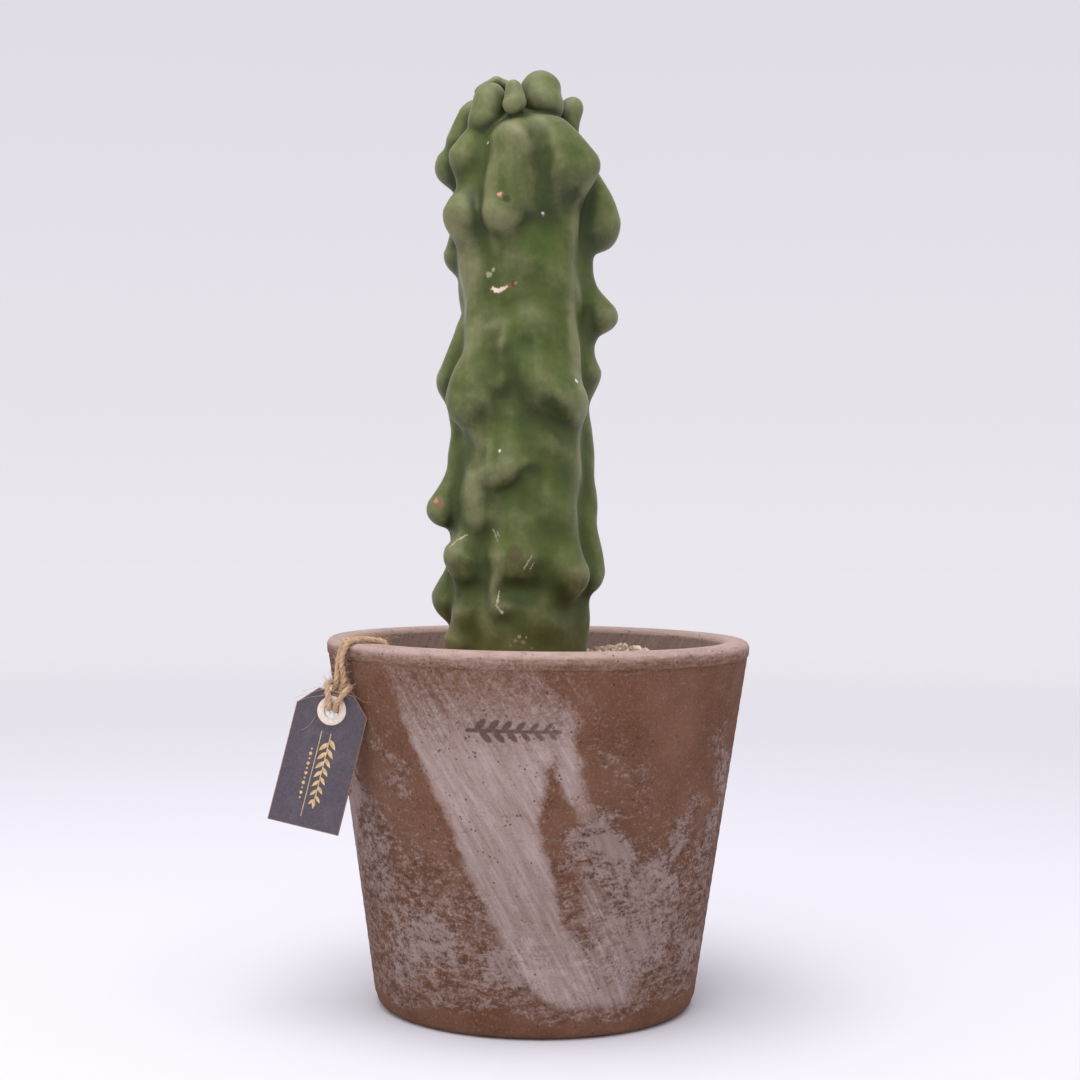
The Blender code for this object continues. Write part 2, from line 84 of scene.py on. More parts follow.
# ---- Twine ----
# Three-ply jute twine, 2.6 mm across, spun from hairy bast fibre and left unpolished. It is doubled over the
# pot's rim, and its bight is hitched through the tag's hole.
pot_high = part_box("pot")[1]
RIM_RADIUS, RIM_TOP = pot_high.x, pot_high.z
TWINE_ANGLE = math.radians(-59.5)
TAG_LEAN, TAG_TIP, TAG_TURN = math.radians(12.3), math.radians(8.0), math.radians(4.0)

rim_out = Vector((math.sin(TWINE_ANGLE), -math.cos(TWINE_ANGLE), 0.0))
rim_along = Vector((-rim_out.y, rim_out.x, 0.0))
rim_crossing = rim_out * RIM_RADIUS + Vector((0, 0, RIM_TOP))
patch_corners = [*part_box("tag_patch_front"), *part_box("tag_patch_back")]
tag_hole = sum(patch_corners, Vector()) / len(patch_corners)
tag_turned = (
    Matrix.Rotation(-TAG_TURN, 3, "Z") @ Matrix.Rotation(-TAG_TIP, 3, "X") @ Matrix.Rotation(TAG_LEAN, 3, "Y")
)
tag_right, tag_up = tag_turned @ Vector((1, 0, 0)), tag_turned @ Vector((0, 0, 1))
tag_out = tag_right.cross(tag_up)

# A "rim" point is outwards from the rim's edge, along the rim and above its top; a "tag" point is right, up
# and out of the card's face from its hole.
FRAMES = {
    "rim": (rim_crossing, rim_out, rim_along, Vector((0, 0, 1))),
    "tag": (tag_hole, tag_right, tag_up, tag_out),
}
ROUTE = [
    ("rim", (-0.0315, 0.0185, -0.0097)), ("rim", (-0.0255, 0.0170, -0.0097)),
    ("rim", (-0.0195, 0.0140, -0.0093)), ("rim", (-0.0156, 0.0114, -0.0066)),
    ("rim", (-0.0143, 0.0106, -0.0026)), ("rim", (-0.0125, 0.0096, 0.0005)),
    ("rim", (-0.0062, 0.0061, 0.0017)), ("rim", (0.0, 0.0027, 0.0009)), ("rim", (0.0020, 0.0018, -0.0026)),
    ("rim", (0.0033, 0.0014, -0.0080)), ("tag", (0.00160, 0.0136, -0.0014)),
    ("tag", (0.00150, 0.0098, -0.0020)), ("tag", (0.00146, 0.0056, -0.0029)),
    ("tag", (0.00146, 0.0022, -0.0027)), ("tag", (0.00146, 0.0005, 0.0)),
    ("tag", (0.00150, 0.0022, 0.0027)), ("tag", (0.00240, 0.0052, 0.0029)),
    ("tag", (0.00375, 0.0086, 0.0025)), ("tag", (0.00470, 0.0109, -0.0002)),
    ("tag", (0.00360, 0.0119, -0.0036)), ("tag", (0.0, 0.0123, -0.0050)),
    ("tag", (-0.00360, 0.0119, -0.0036)), ("tag", (-0.00470, 0.0109, -0.0002)),
    ("tag", (-0.00375, 0.0086, 0.0025)), ("tag", (-0.00240, 0.0052, 0.0029)),
    ("tag", (-0.00150, 0.0022, 0.0027)), ("tag", (-0.00146, 0.0005, 0.0)),
    ("tag", (-0.00146, 0.0022, -0.0027)), ("tag", (-0.00146, 0.0056, -0.0029)),
    ("tag", (-0.00150, 0.0098, -0.0020)), ("tag", (-0.00160, 0.0136, -0.0014)),
    ("rim", (0.0033, -0.0017, -0.0080)), ("rim", (0.0020, -0.0015, -0.0026)),
    ("rim", (0.0001, -0.0008, 0.0009)), ("rim", (-0.0060, 0.0024, 0.0017)),
    ("rim", (-0.0124, 0.0060, 0.0005)), ("rim", (-0.0139, 0.0072, -0.0026)),
    ("rim", (-0.0150, 0.0066, -0.0066)), ("rim", (-0.0186, 0.0056, -0.0093)),
    ("rim", (-0.0250, 0.0040, -0.0097)), ("rim", (-0.0310, 0.0, -0.0097)),
]


def placed(marks):
    """The points of a list of places, each given in the rim's or the tag's frame."""
    found = []
    for name, offset in marks:
        start, *axes = FRAMES[name]
        found.append(start + sum((axis * step for axis, step in zip(axes, offset)), Vector()))
    return found


def smooth_through(points, steps):
    """Points along a centripetal curve that passes through every given point."""
    ends = [points[0] * 2 - points[1], *points, points[-1] * 2 - points[-2]]
    found = []
    for a, b, c, d in zip(ends, ends[1:], ends[2:], ends[3:]):
        at_b = math.sqrt((b - a).length)
        at_c = at_b + math.sqrt((c - b).length)
        at_d = at_c + math.sqrt((d - c).length)
        for step in range(steps):
            t = at_b + (at_c - at_b) * step / steps
            share = (t - at_b) / (at_c - at_b)
            ab, bc, cd = a.lerp(b, t / at_b), b.lerp(c, share), c.lerp(d, (t - at_c) / (at_d - at_c))
            abc, bcd = ab.lerp(bc, t / at_c), bc.lerp(cd, (t - at_b) / (at_d - at_b))
            found.append(abc.lerp(bcd, share))
    return found + [points[-1]]


def linear(code):
    """The linear colour of an sRGB hex value."""
    shares = [int(code[place : place + 2], 16) / 255 for place in (1, 3, 5)]
    return (*[s / 12.92 if s <= 0.04045 else ((s + 0.055) / 1.055) ** 2.4 for s in shares], 1.0)


def add(tree, kind, inputs=None, **settings):
    """A new node with its settings made, and each input given a value or linked to a node or its output."""
    made = tree.nodes.new(kind)
    for name, value in settings.items():
        setattr(made, name, value)
    for name, value in (inputs or {}).items():
        if isinstance(name, int):
            socket = made.inputs[name]
        else:
            socket = next(s for s in made.inputs if s.name == name and s.enabled)
        if isinstance(value, bpy.types.Node):
            value = next(s for s in value.outputs if s.enabled)
        if isinstance(value, bpy.types.NodeSocket):
            tree.links.new(value, socket)
        else:
            socket.default_value = value
    return made


def new_material(name, **sockets):
    """A material, its node tree and its Principled shader, with constants set on the shader's own sockets."""
    material = bpy.data.materials.new(name)
    material.use_nodes = True
    tree = material.node_tree
    shader = tree.nodes["Principled BSDF"]
    for socket, value in sockets.items():
        shader.inputs[socket.replace("_", " ")].default_value = value
    return material, tree, shader


def new_object(name, mesh, *materials):
    made = bpy.data.objects.new(name, mesh)
    bpy.context.scene.collection.objects.link(made)
    for material in materials:
        mesh.materials.append(material)
    return made


def geometry_tree(name, sizes):
    """An empty geometry tree with named inputs for its sizes, and its input node."""
    tree = bpy.data.node_groups.new(name, "GeometryNodeTree")
    tree.interface.new_socket("Geometry", in_out="INPUT", socket_type="NodeSocketGeometry")
    for label, value in sizes.items():
        kind = "NodeSocketInt" if isinstance(value, int) else "NodeSocketFloat"
        tree.interface.new_socket(label, in_out="INPUT", socket_type=kind)
    tree.interface.new_socket("Geometry", in_out="OUTPUT", socket_type="NodeSocketGeometry")
    return tree, tree.nodes.new("NodeGroupInput").outputs


def grown(name, host, tree, sizes, shape, material):
    """The plain mesh object that a geometry tree makes from a host mesh. The tree ends here."""
    finished = add(tree, "GeometryNodeSetMaterial", {"Geometry": shape, "Material": material})
    add(tree, "NodeGroupOutput", {"Geometry": finished})
    maker = new_object(name + "_maker", host)
    modifier = maker.modifiers.new(name, "NODES")
    modifier.node_group = tree
    for socket in tree.interface.items_tree:
        if socket.in_out == "INPUT" and socket.name in sizes:
            modifier[socket.identifier] = sizes[socket.name]
    graph = bpy.context.evaluated_depsgraph_get()
    mesh = bpy.data.meshes.new_from_object(maker.evaluated_get(graph), depsgraph=graph)
    bpy.data.objects.remove(maker)
    made = bpy.data.objects.new(name, mesh)
    bpy.context.scene.collection.objects.link(made)
    return made


def line_mesh(name, lines):
    """A mesh of edges only, along each of the lines."""
    points, edges = [], []
    for line in lines:
        edges += [(len(points) + i, len(points) + i + 1) for i in range(len(line) - 1)]
        points += [tuple(point) for point in line]
    mesh = bpy.data.meshes.new(name)
    mesh.from_pydata(points, edges, [])
    return mesh


# Jute: dry bast fibre, matt and straw coloured, with paler strands catching the light.
jute, tree, shader = new_material("jute_twine", Roughness=0.9, Sheen_Weight=0.25, Sheen_Roughness=0.6)
around = add(tree, "ShaderNodeAttribute", attribute_name="around").outputs["Vector"]
along = add(tree, "ShaderNodeAttribute", attribute_name="along").outputs["Fac"]
# Jute strands are far finer than this, but they show at this size.
STRAND_RUN = 6.25 * MM
run = add(tree, "ShaderNodeMath", {0: along, 1: 1 / STRAND_RUN}, operation="MULTIPLY")
down_ply = add(tree, "ShaderNodeCombineXYZ", {"Z": run})
strand = add(tree, "ShaderNodeVectorMath", {0: around, 1: down_ply}, operation="ADD")
fibres = add(tree, "ShaderNodeTexNoise", {"Vector": strand, "Scale": 3.4, "Detail": 5.0, "Roughness": 0.65})
patches = add(
    tree, "ShaderNodeTexNoise",
    {"Vector": add(tree, "ShaderNodeTexCoord").outputs["Object"], "Scale": 1 / (3.85 * MM), "Detail": 2.0},
)
share = add(tree, "ShaderNodeMapRange", {"Value": fibres, "From Min": 0.35, "From Max": 0.68})
straw = add(
    tree, "ShaderNodeMix", {"Factor": share, "A": linear("#9b6f4a"), "B": linear("#efd2ab")}, data_type="RGBA"
)
share = add(tree, "ShaderNodeMapRange", {"Value": patches, "From Min": 0.4, "From Max": 0.75, "To Max": 0.5})
straw = add(
    tree, "ShaderNodeMix", {"Factor": share, "A": straw.outputs[2], "B": linear("#bb9068")}, data_type="RGBA"
)
tree.links.new(straw.outputs[2], shader.inputs["Base Color"])
relief = add(tree, "ShaderNodeBump", {"Height": fibres, "Strength": 0.7, "Distance": 0.0003})
tree.links.new(relief.outputs[0], shader.inputs["Normal"])

CORD_SIZES = {
    "Plies": 3, "Ply radius": 0.78 * MM, "Lay radius": 0.52 * MM, "Pitch": 7.0 * MM, "Step": 0.45 * MM,
}
tree, given = geometry_tree("laid_cord", CORD_SIZES)
line = add(tree, "GeometryNodeMeshToCurve", {"Mesh": given["Geometry"]})
line = add(tree, "GeometryNodeResampleCurve", {"Curve": line, "Length": given["Step"]}, mode="LENGTH")
plies = add(
    tree, "GeometryNodeDuplicateElements", {"Geometry": line, "Amount": given["Plies"]}, domain="SPLINE"
)
travelled = add(tree, "GeometryNodeSplineParameter").outputs["Length"]
turns = add(tree, "ShaderNodeMath", {0: travelled, 1: given["Pitch"]}, operation="DIVIDE")
first = add(
    tree, "ShaderNodeMath", {0: plies.outputs["Duplicate Index"], 1: given["Plies"]}, operation="DIVIDE"
)
turns = add(tree, "ShaderNodeMath", {0: turns, 1: first}, operation="ADD")
angle = add(tree, "ShaderNodeMath", {0: turns, 1: 2 * math.pi}, operation="MULTIPLY")
normal = add(tree, "GeometryNodeInputNormal")
side = add(
    tree, "ShaderNodeVectorMath",
    {0: add(tree, "GeometryNodeInputTangent"), 1: normal}, operation="CROSS_PRODUCT",
)
shifts = []
for way, wave in ((normal, "COSINE"), (side, "SINE")):
    amount = add(tree, "ShaderNodeMath", {0: angle}, operation=wave)
    shifts.append(add(tree, "ShaderNodeVectorMath", {0: way, "Scale": amount}, operation="SCALE"))
shift = add(tree, "ShaderNodeVectorMath", {0: shifts[0], 1: shifts[1]}, operation="ADD")
shift = add(tree, "ShaderNodeVectorMath", {0: shift, "Scale": given["Lay radius"]}, operation="SCALE")
spun = add(tree, "GeometryNodeSetPosition", {"Geometry": plies.outputs["Geometry"], "Offset": shift})
uneven = add(tree, "ShaderNodeTexNoise", {"Scale": 1 / (2.381 * MM), "Detail": 1.0})
uneven = add(
    tree, "ShaderNodeMapRange",
    {"Value": uneven, "From Min": 0.3, "From Max": 0.7, "To Min": 0.82, "To Max": 1.15},
)
spun = add(
    tree, "GeometryNodeStoreNamedAttribute",
    {"Geometry": spun, "Name": "along", "Value": travelled}, data_type="FLOAT",
)
section = add(tree, "GeometryNodeCurvePrimitiveCircle", {"Resolution": 9, "Radius": given["Ply radius"]})
unit = add(tree, "ShaderNodeVectorMath", {0: add(tree, "GeometryNodeInputPosition")}, operation="NORMALIZE")
section = add(
    tree, "GeometryNodeStoreNamedAttribute",
    {"Geometry": section, "Name": "around", "Value": unit}, data_type="FLOAT_VECTOR",
)
tube = add(
    tree, "GeometryNodeCurveToMesh",
    {"Curve": spun, "Profile Curve": section, "Scale": uneven, "Fill Caps": True},
)
twine_path = smooth_through(placed(ROUTE), 8)
twine = grown("twine_cord", line_mesh("twine_line", [twine_path]), tree, CORD_SIZES, tube, jute)

# Loose fibre ends stand off the yarn all along it.
FUZZ_SIZES = {"Count": 1700, "Fibre radius": 0.055 * MM, "Seed": 7}
tree, given = geometry_tree("cord_fuzz", FUZZ_SIZES)
line = add(tree, "GeometryNodeMeshToCurve", {"Mesh": given["Geometry"]})
roots = add(tree, "GeometryNodeCurveToPoints", {"Curve": line, "Count": given["Count"]}, mode="COUNT")
fibre = add(
    tree, "GeometryNodeCurveQuadraticBezier",
    {"Resolution": 5, "Start": (0, 0, 0), "Middle": (0.0007, 0.0002, 0.0018),
     "End": (0.0022, -0.0006, 0.0030)},
)
bore = add(tree, "GeometryNodeCurvePrimitiveCircle", {"Resolution": 3, "Radius": given["Fibre radius"]})
fibre = add(tree, "GeometryNodeCurveToMesh", {"Curve": fibre, "Profile Curve": bore})
spin = add(
    tree, "FunctionNodeRandomValue",
    {"Min": (-math.pi,) * 3, "Max": (math.pi,) * 3, "Seed": given["Seed"]}, data_type="FLOAT_VECTOR",
)
size = add(
    tree, "FunctionNodeRandomValue", {"Min": 0.55, "Max": 1.15, "Seed": given["Seed"]}, data_type="FLOAT"
)
hairs = add(
    tree, "GeometryNodeInstanceOnPoints",
    {"Points": roots.outputs["Points"], "Instance": fibre, "Rotation": spin, "Scale": size},
)
hairs = add(tree, "GeometryNodeRealizeInstances", {"Geometry": hairs})
fuzz = grown("twine_fuzz", line_mesh("fuzz_line", [twine_path]), tree, FUZZ_SIZES, hairs, jute)

# A few longer fibres have worked loose: over the card's upper left corner, below the ring, and beside the
# strands on the right, where one has curled up.
STRAYS = [
    [("tag", (-0.0030, 0.0090, 0.0032)), ("tag", (-0.0080, 0.0068, 0.0022)),
     ("tag", (-0.0170, 0.0016, 0.0016))],
    [("tag", (-0.0034, 0.0100, 0.0030)), ("tag", (-0.0090, 0.0080, 0.0018)),
     ("tag", (-0.0145, 0.0052, 0.0012))],
    [("tag", (-0.0030, 0.0060, 0.0030)), ("tag", (-0.0100, 0.0036, 0.0016)),
     ("tag", (-0.0165, 0.0000, 0.0012))],
    [("tag", (-0.0062, -0.0040, 0.0016)), ("tag", (-0.0078, -0.0082, 0.0011)),
     ("tag", (-0.0104, -0.0108, 0.0010))],
    [("tag", (0.0040, 0.0110, 0.0030)), ("tag", (0.0090, 0.0085, 0.0060)),
     ("tag", (0.0135, 0.0068, 0.0050)), ("tag", (0.0162, 0.0076, 0.0040))],
    [("rim", (0.0040, 0.0030, -0.0120)), ("rim", (0.0070, 0.0085, -0.0150)),
     ("rim", (0.0050, 0.0120, -0.0190)), ("rim", (0.0060, 0.0095, -0.0225)),
     ("rim", (0.0080, 0.0110, -0.0190))],
    [("rim", (0.0035, 0.0025, -0.0160)), ("rim", (0.0060, 0.0070, -0.0200)),
     ("rim", (0.0055, 0.0105, -0.0260))],
    [("rim", (-0.0120, 0.0098, 0.0015)), ("rim", (-0.0150, 0.0125, 0.0045)),
     ("rim", (-0.0160, 0.0160, 0.0070))],
    [("rim", (-0.0120, 0.0085, 0.0015)), ("rim", (-0.0160, 0.0105, 0.0030)),
     ("rim", (-0.0190, 0.0130, 0.0025))],
    [("rim", (-0.0110, 0.0070, 0.0020)), ("rim", (-0.0140, 0.0120, 0.0020)),
     ("rim", (-0.0150, 0.0180, 0.0035))],
]
stray_lines = [smooth_through(placed(marks), 8) for marks in STRAYS]
STRAY_SIZES = {"Fibre radius": 0.06 * MM}
tree, given = geometry_tree("stray_fibres", STRAY_SIZES)
line = add(tree, "GeometryNodeMeshToCurve", {"Mesh": given["Geometry"]})
bore = add(tree, "GeometryNodeCurvePrimitiveCircle", {"Resolution": 4, "Radius": given["Fibre radius"]})
threads = add(tree, "GeometryNodeCurveToMesh", {"Curve": line, "Profile Curve": bore, "Fill Caps": True})
strays = grown("stray_fibres", line_mesh("stray_lines", stray_lines), tree, STRAY_SIZES, threads, jute)

for piece in (twine, fuzz, strays):
    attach(piece, "root")
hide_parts("twine")


# ---- Pot ----
# A turned and fired clay pot with an 11.6 mm wall, a low band round the rim and a stamped sprig. Lime from
# the watering has bloomed through the bare clay in pale strokes and flecks.
BASE_RADIUS, POT_WALL = 71.4 * MM, 11.6 * MM
FLOOR_THICKNESS, DRAIN_RADIUS = 12.0 * MM, 10.0 * MM
BASE_ROUNDING, RIM_ROUNDING = 4.6 * MM, 3.0 * MM
BAND_HEIGHT, BAND_STEP, GROOVE_DEPTH = 7.2 * MM, 0.7 * MM, 0.32 * MM
BAND_BOTTOM = RIM_TOP - BAND_HEIGHT
STAMP_ANGLE, STAMP_HEIGHT, STAMP_DEPTH = math.radians(-6.2), 132.0 * MM, 0.75 * MM


def wall_radius(height):
    """The outer face's radius, on the straight taper below the rim band."""
    return BASE_RADIUS + (RIM_RADIUS - BAND_STEP - BASE_RADIUS) * height / BAND_BOTTOM


def arc(centre_radius, centre_height, radius, start, end, steps):
    """Points of a rounded corner of a turned profile, from the start to the end angle in degrees."""
    turns = np.radians(np.linspace(start, end, steps + 1))
    return [(centre_radius + radius * math.cos(t), centre_height + radius * math.sin(t)) for t in turns]


def levels(low, high, step):
    """Heights from low to high, about a step apart, both ends left out."""
    return np.linspace(low, high, max(2, round((high - low) / step)) + 1)[1:-1]


def smoothstep(low, high, value):
    share = np.clip((value - low) / (high - low), 0, 1)
    return share * share * (3 - 2 * share)


def grid_mesh(name, points, wrap_rows, attributes=None):
    """A quad mesh over rows of points. Each row runs round onto itself, and the rows may do so too."""
    rows, columns = points.shape[:2]
    index = np.arange(rows * columns).reshape(rows, columns)
    beside = np.roll(index, -1, axis=1)
    if wrap_rows:
        above, above_beside = np.roll(index, -1, axis=0), np.roll(beside, -1, axis=0)
    else:
        index, beside, above, above_beside = index[:-1], beside[:-1], index[1:], beside[1:]
    faces = np.stack([index, beside, above_beside, above], axis=-1).reshape(-1, 4)
    return mesh_of(name, points.reshape(-1, 3), faces, attributes)


def mesh_of(name, points, faces, attributes=None):
    """A smooth-shaded mesh with the given values on its points."""
    mesh = bpy.data.meshes.new(name)
    mesh.from_pydata(points.tolist(), [], faces.tolist())
    for label, values in (attributes or {}).items():
        store_values(mesh, label, values)
    mesh.shade_smooth()
    return mesh


def store_values(mesh, label, values):
    """Keeps a number or a vector on each point of a mesh, for its material to read."""
    values = np.asarray(values, np.float32)
    kind, field = ("FLOAT_VECTOR", "vector") if values.ndim == 2 else ("FLOAT", "value")
    mesh.attributes.new(label, kind, "POINT").data.foreach_set(field, values.ravel())


def sprig_leaves(length, pairs, leaf_length, tilt):
    """Middle, length direction and size of each leaf of a sprig that runs along +X, from its foot at 0."""
    leaves = []
    for number in range(pairs):
        at = length * (number + 0.6) / (pairs + 0.4)
        size = leaf_length * (1.0 - 0.35 * number / pairs)
        for side in (-1, 1):
            angle = side * tilt
            foot = at + (0.0 if side > 0 else length * 0.35 / pairs)
            leaves.append((foot + size / 2 * math.cos(angle), size / 2 * math.sin(angle), angle, size))
    leaves.append((length + leaf_length * 0.1, 0.0, 0.0, leaf_length * 0.75))
    return leaves


def stamp_pressed(across, up):
    """How deep a place on the wall lies in the stamped sprig, from 0 to 1. Millimetres from its middle."""
    along = across + 20.0
    pressed = smoothstep(0.95, 0.45, np.abs(up))
    pressed = pressed * smoothstep(-0.5, 0.3, along) * smoothstep(38.5, 37.5, along)
    for x, y, angle, size in sprig_leaves(37.0, 6, 7.4, math.radians(44)):
        run = (along - x) * math.cos(angle) + (up - y) * math.sin(angle)
        off = -(along - x) * math.sin(angle) + (up - y) * math.cos(angle)
        reach = np.sqrt((run / (size / 2)) ** 2 + (off / (size / 2 * 0.42)) ** 2)
        pressed = np.maximum(pressed, smoothstep(1.15, 0.6, reach))
    return pressed * (1.0 - 0.35 * smoothstep(8, 38, along))


# Bloom strokes, from the top down: height in millimetres, the angles in degrees of the stroke's left and
# right edge there, how far each edge feathers out in degrees, and how thick the film is.
STROKES = [
    [(164, -47, 0, 4, 7, 0.42), (152, -45, 6, 3, 7, 0.50), (143, -41, 12, 3, 6, 0.62),
     (135, -38.5, 13.5, 2.5, 5, 0.72), (128, -37, 9, 2.5, 5, 0.80), (119, -35, 5, 2.5, 4, 0.95),
     (108, -31, 3, 2.5, 3, 0.95), (98, -27.6, 1, 2.5, 2.5, 0.9), (81, -23.5, 3.5, 3, 2.5, 0.90),
     (68, -20, 6, 3, 2.5, 0.88), (50, -14, 10, 4, 4, 0.88), (38, -10, 17, 5, 5, 0.90),
     (27, -6, 23, 5, 5, 0.98), (15, 4, 29, 5, 5, 1.0)],
    [(134, 0, 8, 3, 3, 0.75), (119, 4.5, 12.6, 3, 3, 0.95), (107, 6.5, 14.5, 2.5, 3, 0.9),
     (98, 9.5, 17, 2.5, 3, 0.75), (88, 13, 19, 3, 4, 0.55)],
    [(158, 2, 8, 4, 5, 0.5), (148, 8, 15, 4, 5, 0.45), (138, 13, 20, 3, 5, 0.38),
     (130, 17, 24, 3, 5, 0.28)],
    [(78, 9, 19, 3, 8, 0.55), (58, 12.5, 27, 3, 8, 0.68), (38, 16, 36, 4, 8, 0.76),
     (24, 18, 38, 4, 8, 0.86), (14, 20, 35, 4, 8, 0.92)],
    [(108, 51, 53, 1.5, 3, 0.55), (80, 51.5, 54, 1.5, 4, 0.6), (60, 51, 54, 2, 4, 0.5)],
    [(164, 150, 178, 6, 6, 0.6), (120, 158, 184, 4, 8, 0.8), (80, 170, 196, 4, 6, 0.85),
     (40, 186, 204, 4, 8, 0.6)],
    [(150, 92, 104, 5, 8, 0.5), (100, 102, 118, 4, 6, 0.75), (60, 112, 126, 3, 6, 0.7),
     (30, 120, 130, 4, 6, 0.5)],
    [(110, 228, 242, 4, 6, 0.6), (60, 236, 256, 3, 6, 0.75), (22, 246, 260, 4, 8, 0.8)],
]
# Flecked areas: angle, height, half width in degrees, half height in millimetres, and strength.
FLECKED = [
    (-56, 66, 26, 60, 0.56), (-40, 34, 30, 26, 0.62), (36, 62, 28, 36, 0.62), (24, 78, 14, 14, 0.74),
    (46, 74, 12, 40, 0.60), (28, 34, 30, 26, 0.66), (14, 84, 10, 26, 0.60), (-74, 96, 14, 50, 0.68),
    (68, 90, 14, 64, 0.56), (60, 34, 22, 30, 0.60), (-6, 36, 26, 24, 0.64), (-44, 118, 12, 40, 0.50),
    (24, 118, 16, 30, 0.46), (120, 70, 34, 54, 0.60), (170, 40, 34, 36, 0.66), (215, 90, 30, 50, 0.58),
    (250, 50, 26, 40, 0.62), (90, 40, 24, 30, 0.58), (190, 120, 40, 30, 0.48),
]


def bloom_film(angles, heights):
    """How thick the pale film of the strokes is at each place on the wall, from 0 to 1."""
    film = np.zeros_like(angles)
    for stroke in STROKES:
        tops, *columns = np.array(stroke[::-1]).T
        left, right, left_feather, right_feather, thickness = (np.interp(heights, tops, c) for c in columns)
        place = np.where(angles < columns[0].min() - 60, angles + 360, angles)
        place = place + 0.5 * np.sin(heights * 0.23 + place * 0.11) + 0.4 * np.sin(heights * 0.61 + 1.0)
        inside = smoothstep(-left_feather, left_feather, place - left)
        inside *= smoothstep(-right_feather, right_feather, right - place) * thickness
        inside *= smoothstep(tops[0] - 9, tops[0] + 4, heights)
        inside *= smoothstep(tops[-1] + 9, tops[-1] - 3, heights)
        film = np.maximum(film, inside)
    return film


def bloom_flecks(angles, heights):
    """How much of the wall is flecked with lime at each place, from 0 to 1."""
    flecks = 0.35 + 0.15 * smoothstep(120, 55, heights)
    turns = np.radians(angles)
    strayed = heights + 7 * np.sin(turns * 5 + heights * 0.05) + 4 * np.sin(turns * 13)
    for angle, height, half_width, half_height, strength in FLECKED:
        apart = (angles + 5 * np.sin(heights * 0.11) + 3 * np.sin(heights * 0.37) - angle + 180) % 360 - 180
        reach = np.sqrt((apart / half_width) ** 2 + ((strayed - height) / half_height) ** 2)
        flecks = np.maximum(flecks, strength * smoothstep(1.6, 0.2, reach))
    return flecks


rim_middle = RIM_TOP - RIM_ROUNDING
inner_rim = wall_radius(rim_middle) - POT_WALL
stamp_low, stamp_high = STAMP_HEIGHT - 6.5 * MM, STAMP_HEIGHT + 6.5 * MM
wall_levels = [*levels(BASE_ROUNDING, stamp_low, 1.6 * MM), *levels(stamp_low, stamp_high, 0.45 * MM),
               *levels(stamp_high, BAND_BOTTOM - 3 * GROOVE_DEPTH, 1.6 * MM)]
profile = [(r, 0.0) for r in np.linspace(DRAIN_RADIUS + 0.8 * MM, BASE_RADIUS - BASE_ROUNDING - 1.5 * MM, 12)]
outside_start = len(profile)
profile += arc(BASE_RADIUS - BASE_ROUNDING, BASE_ROUNDING, BASE_ROUNDING, -90, -8, 8)
profile += [(wall_radius(height), height) for height in wall_levels]
profile += [
    (wall_radius(BAND_BOTTOM) - 0.1 * MM, BAND_BOTTOM - 2 * GROOVE_DEPTH),
    (wall_radius(BAND_BOTTOM) - GROOVE_DEPTH, BAND_BOTTOM - 1.2 * GROOVE_DEPTH),
    (wall_radius(BAND_BOTTOM) - GROOVE_DEPTH, BAND_BOTTOM - 0.4 * GROOVE_DEPTH),
    (RIM_RADIUS - 0.7 * BAND_STEP, BAND_BOTTOM + 0.3 * BAND_STEP),
    (RIM_RADIUS - BAND_STEP / 4, BAND_BOTTOM + BAND_STEP),
    (RIM_RADIUS, BAND_BOTTOM + 2.5 * BAND_STEP),
]
profile += arc(RIM_RADIUS - RIM_ROUNDING, rim_middle, RIM_ROUNDING, 0, 90, 7)
outside_end = len(profile)
profile += [(r, RIM_TOP) for r in levels(inner_rim + RIM_ROUNDING, RIM_RADIUS - RIM_ROUNDING, 1.5 * MM)[::-1]]
profile += arc(inner_rim + RIM_ROUNDING, rim_middle, RIM_ROUNDING, 90, 180, 7)
lip_end = len(profile) - 1
buried = 146 * MM
inner_levels = [*levels(buried, rim_middle, 1.5 * MM)[::-1], *levels(FLOOR_THICKNESS, buried, 30 * MM)[::-1]]
profile += [(wall_radius(height) - POT_WALL, height) for height in inner_levels]
profile += [(wall_radius(FLOOR_THICKNESS) - POT_WALL, FLOOR_THICKNESS), (DRAIN_RADIUS, FLOOR_THICKNESS),
            (DRAIN_RADIUS, 0.8 * MM)]
radii, heights = np.array(profile).T

fine = np.arange(-21.0, 10.0, 0.34)
coarse = np.linspace(fine[-1], fine[0] + 360, 220)[1:-1]
degrees = np.concatenate([fine, coarse])
turns = np.radians(degrees)
angle_grid, height_grid = np.meshgrid(degrees, heights / MM)
turn_grid = np.radians(angle_grid)
radius_grid = np.repeat(radii[:, None], len(turns), axis=1)
row = np.arange(len(heights))[:, None]
on_wall = (row >= outside_start) & (row < outside_end) & (height_grid > 1.0)
# The wheel leaves faint rings, and drying leaves the wall very slightly out of round.
rings = 0.05 * np.sin(height_grid * 0.9 + 0.6 * np.sin(turn_grid)) + 0.04 * np.sin(height_grid * 2.3 + 1.0)
slack = 0.12 * np.sin(2 * turn_grid + height_grid * 0.02) + 0.06 * np.sin(3 * turn_grid + 1.0)
radius_grid += np.where(on_wall, rings + slack, 0.0) * MM
across_wall = (turn_grid - STAMP_ANGLE) * wall_radius(STAMP_HEIGHT) / MM
stamp = stamp_pressed(across_wall, height_grid - STAMP_HEIGHT / MM)
stamp = np.where(on_wall, stamp, 0.0)
radius_grid -= stamp * STAMP_DEPTH
clay_points = np.stack(
    [radius_grid * np.sin(turn_grid), -radius_grid * np.cos(turn_grid), height_grid * MM], axis=-1
)
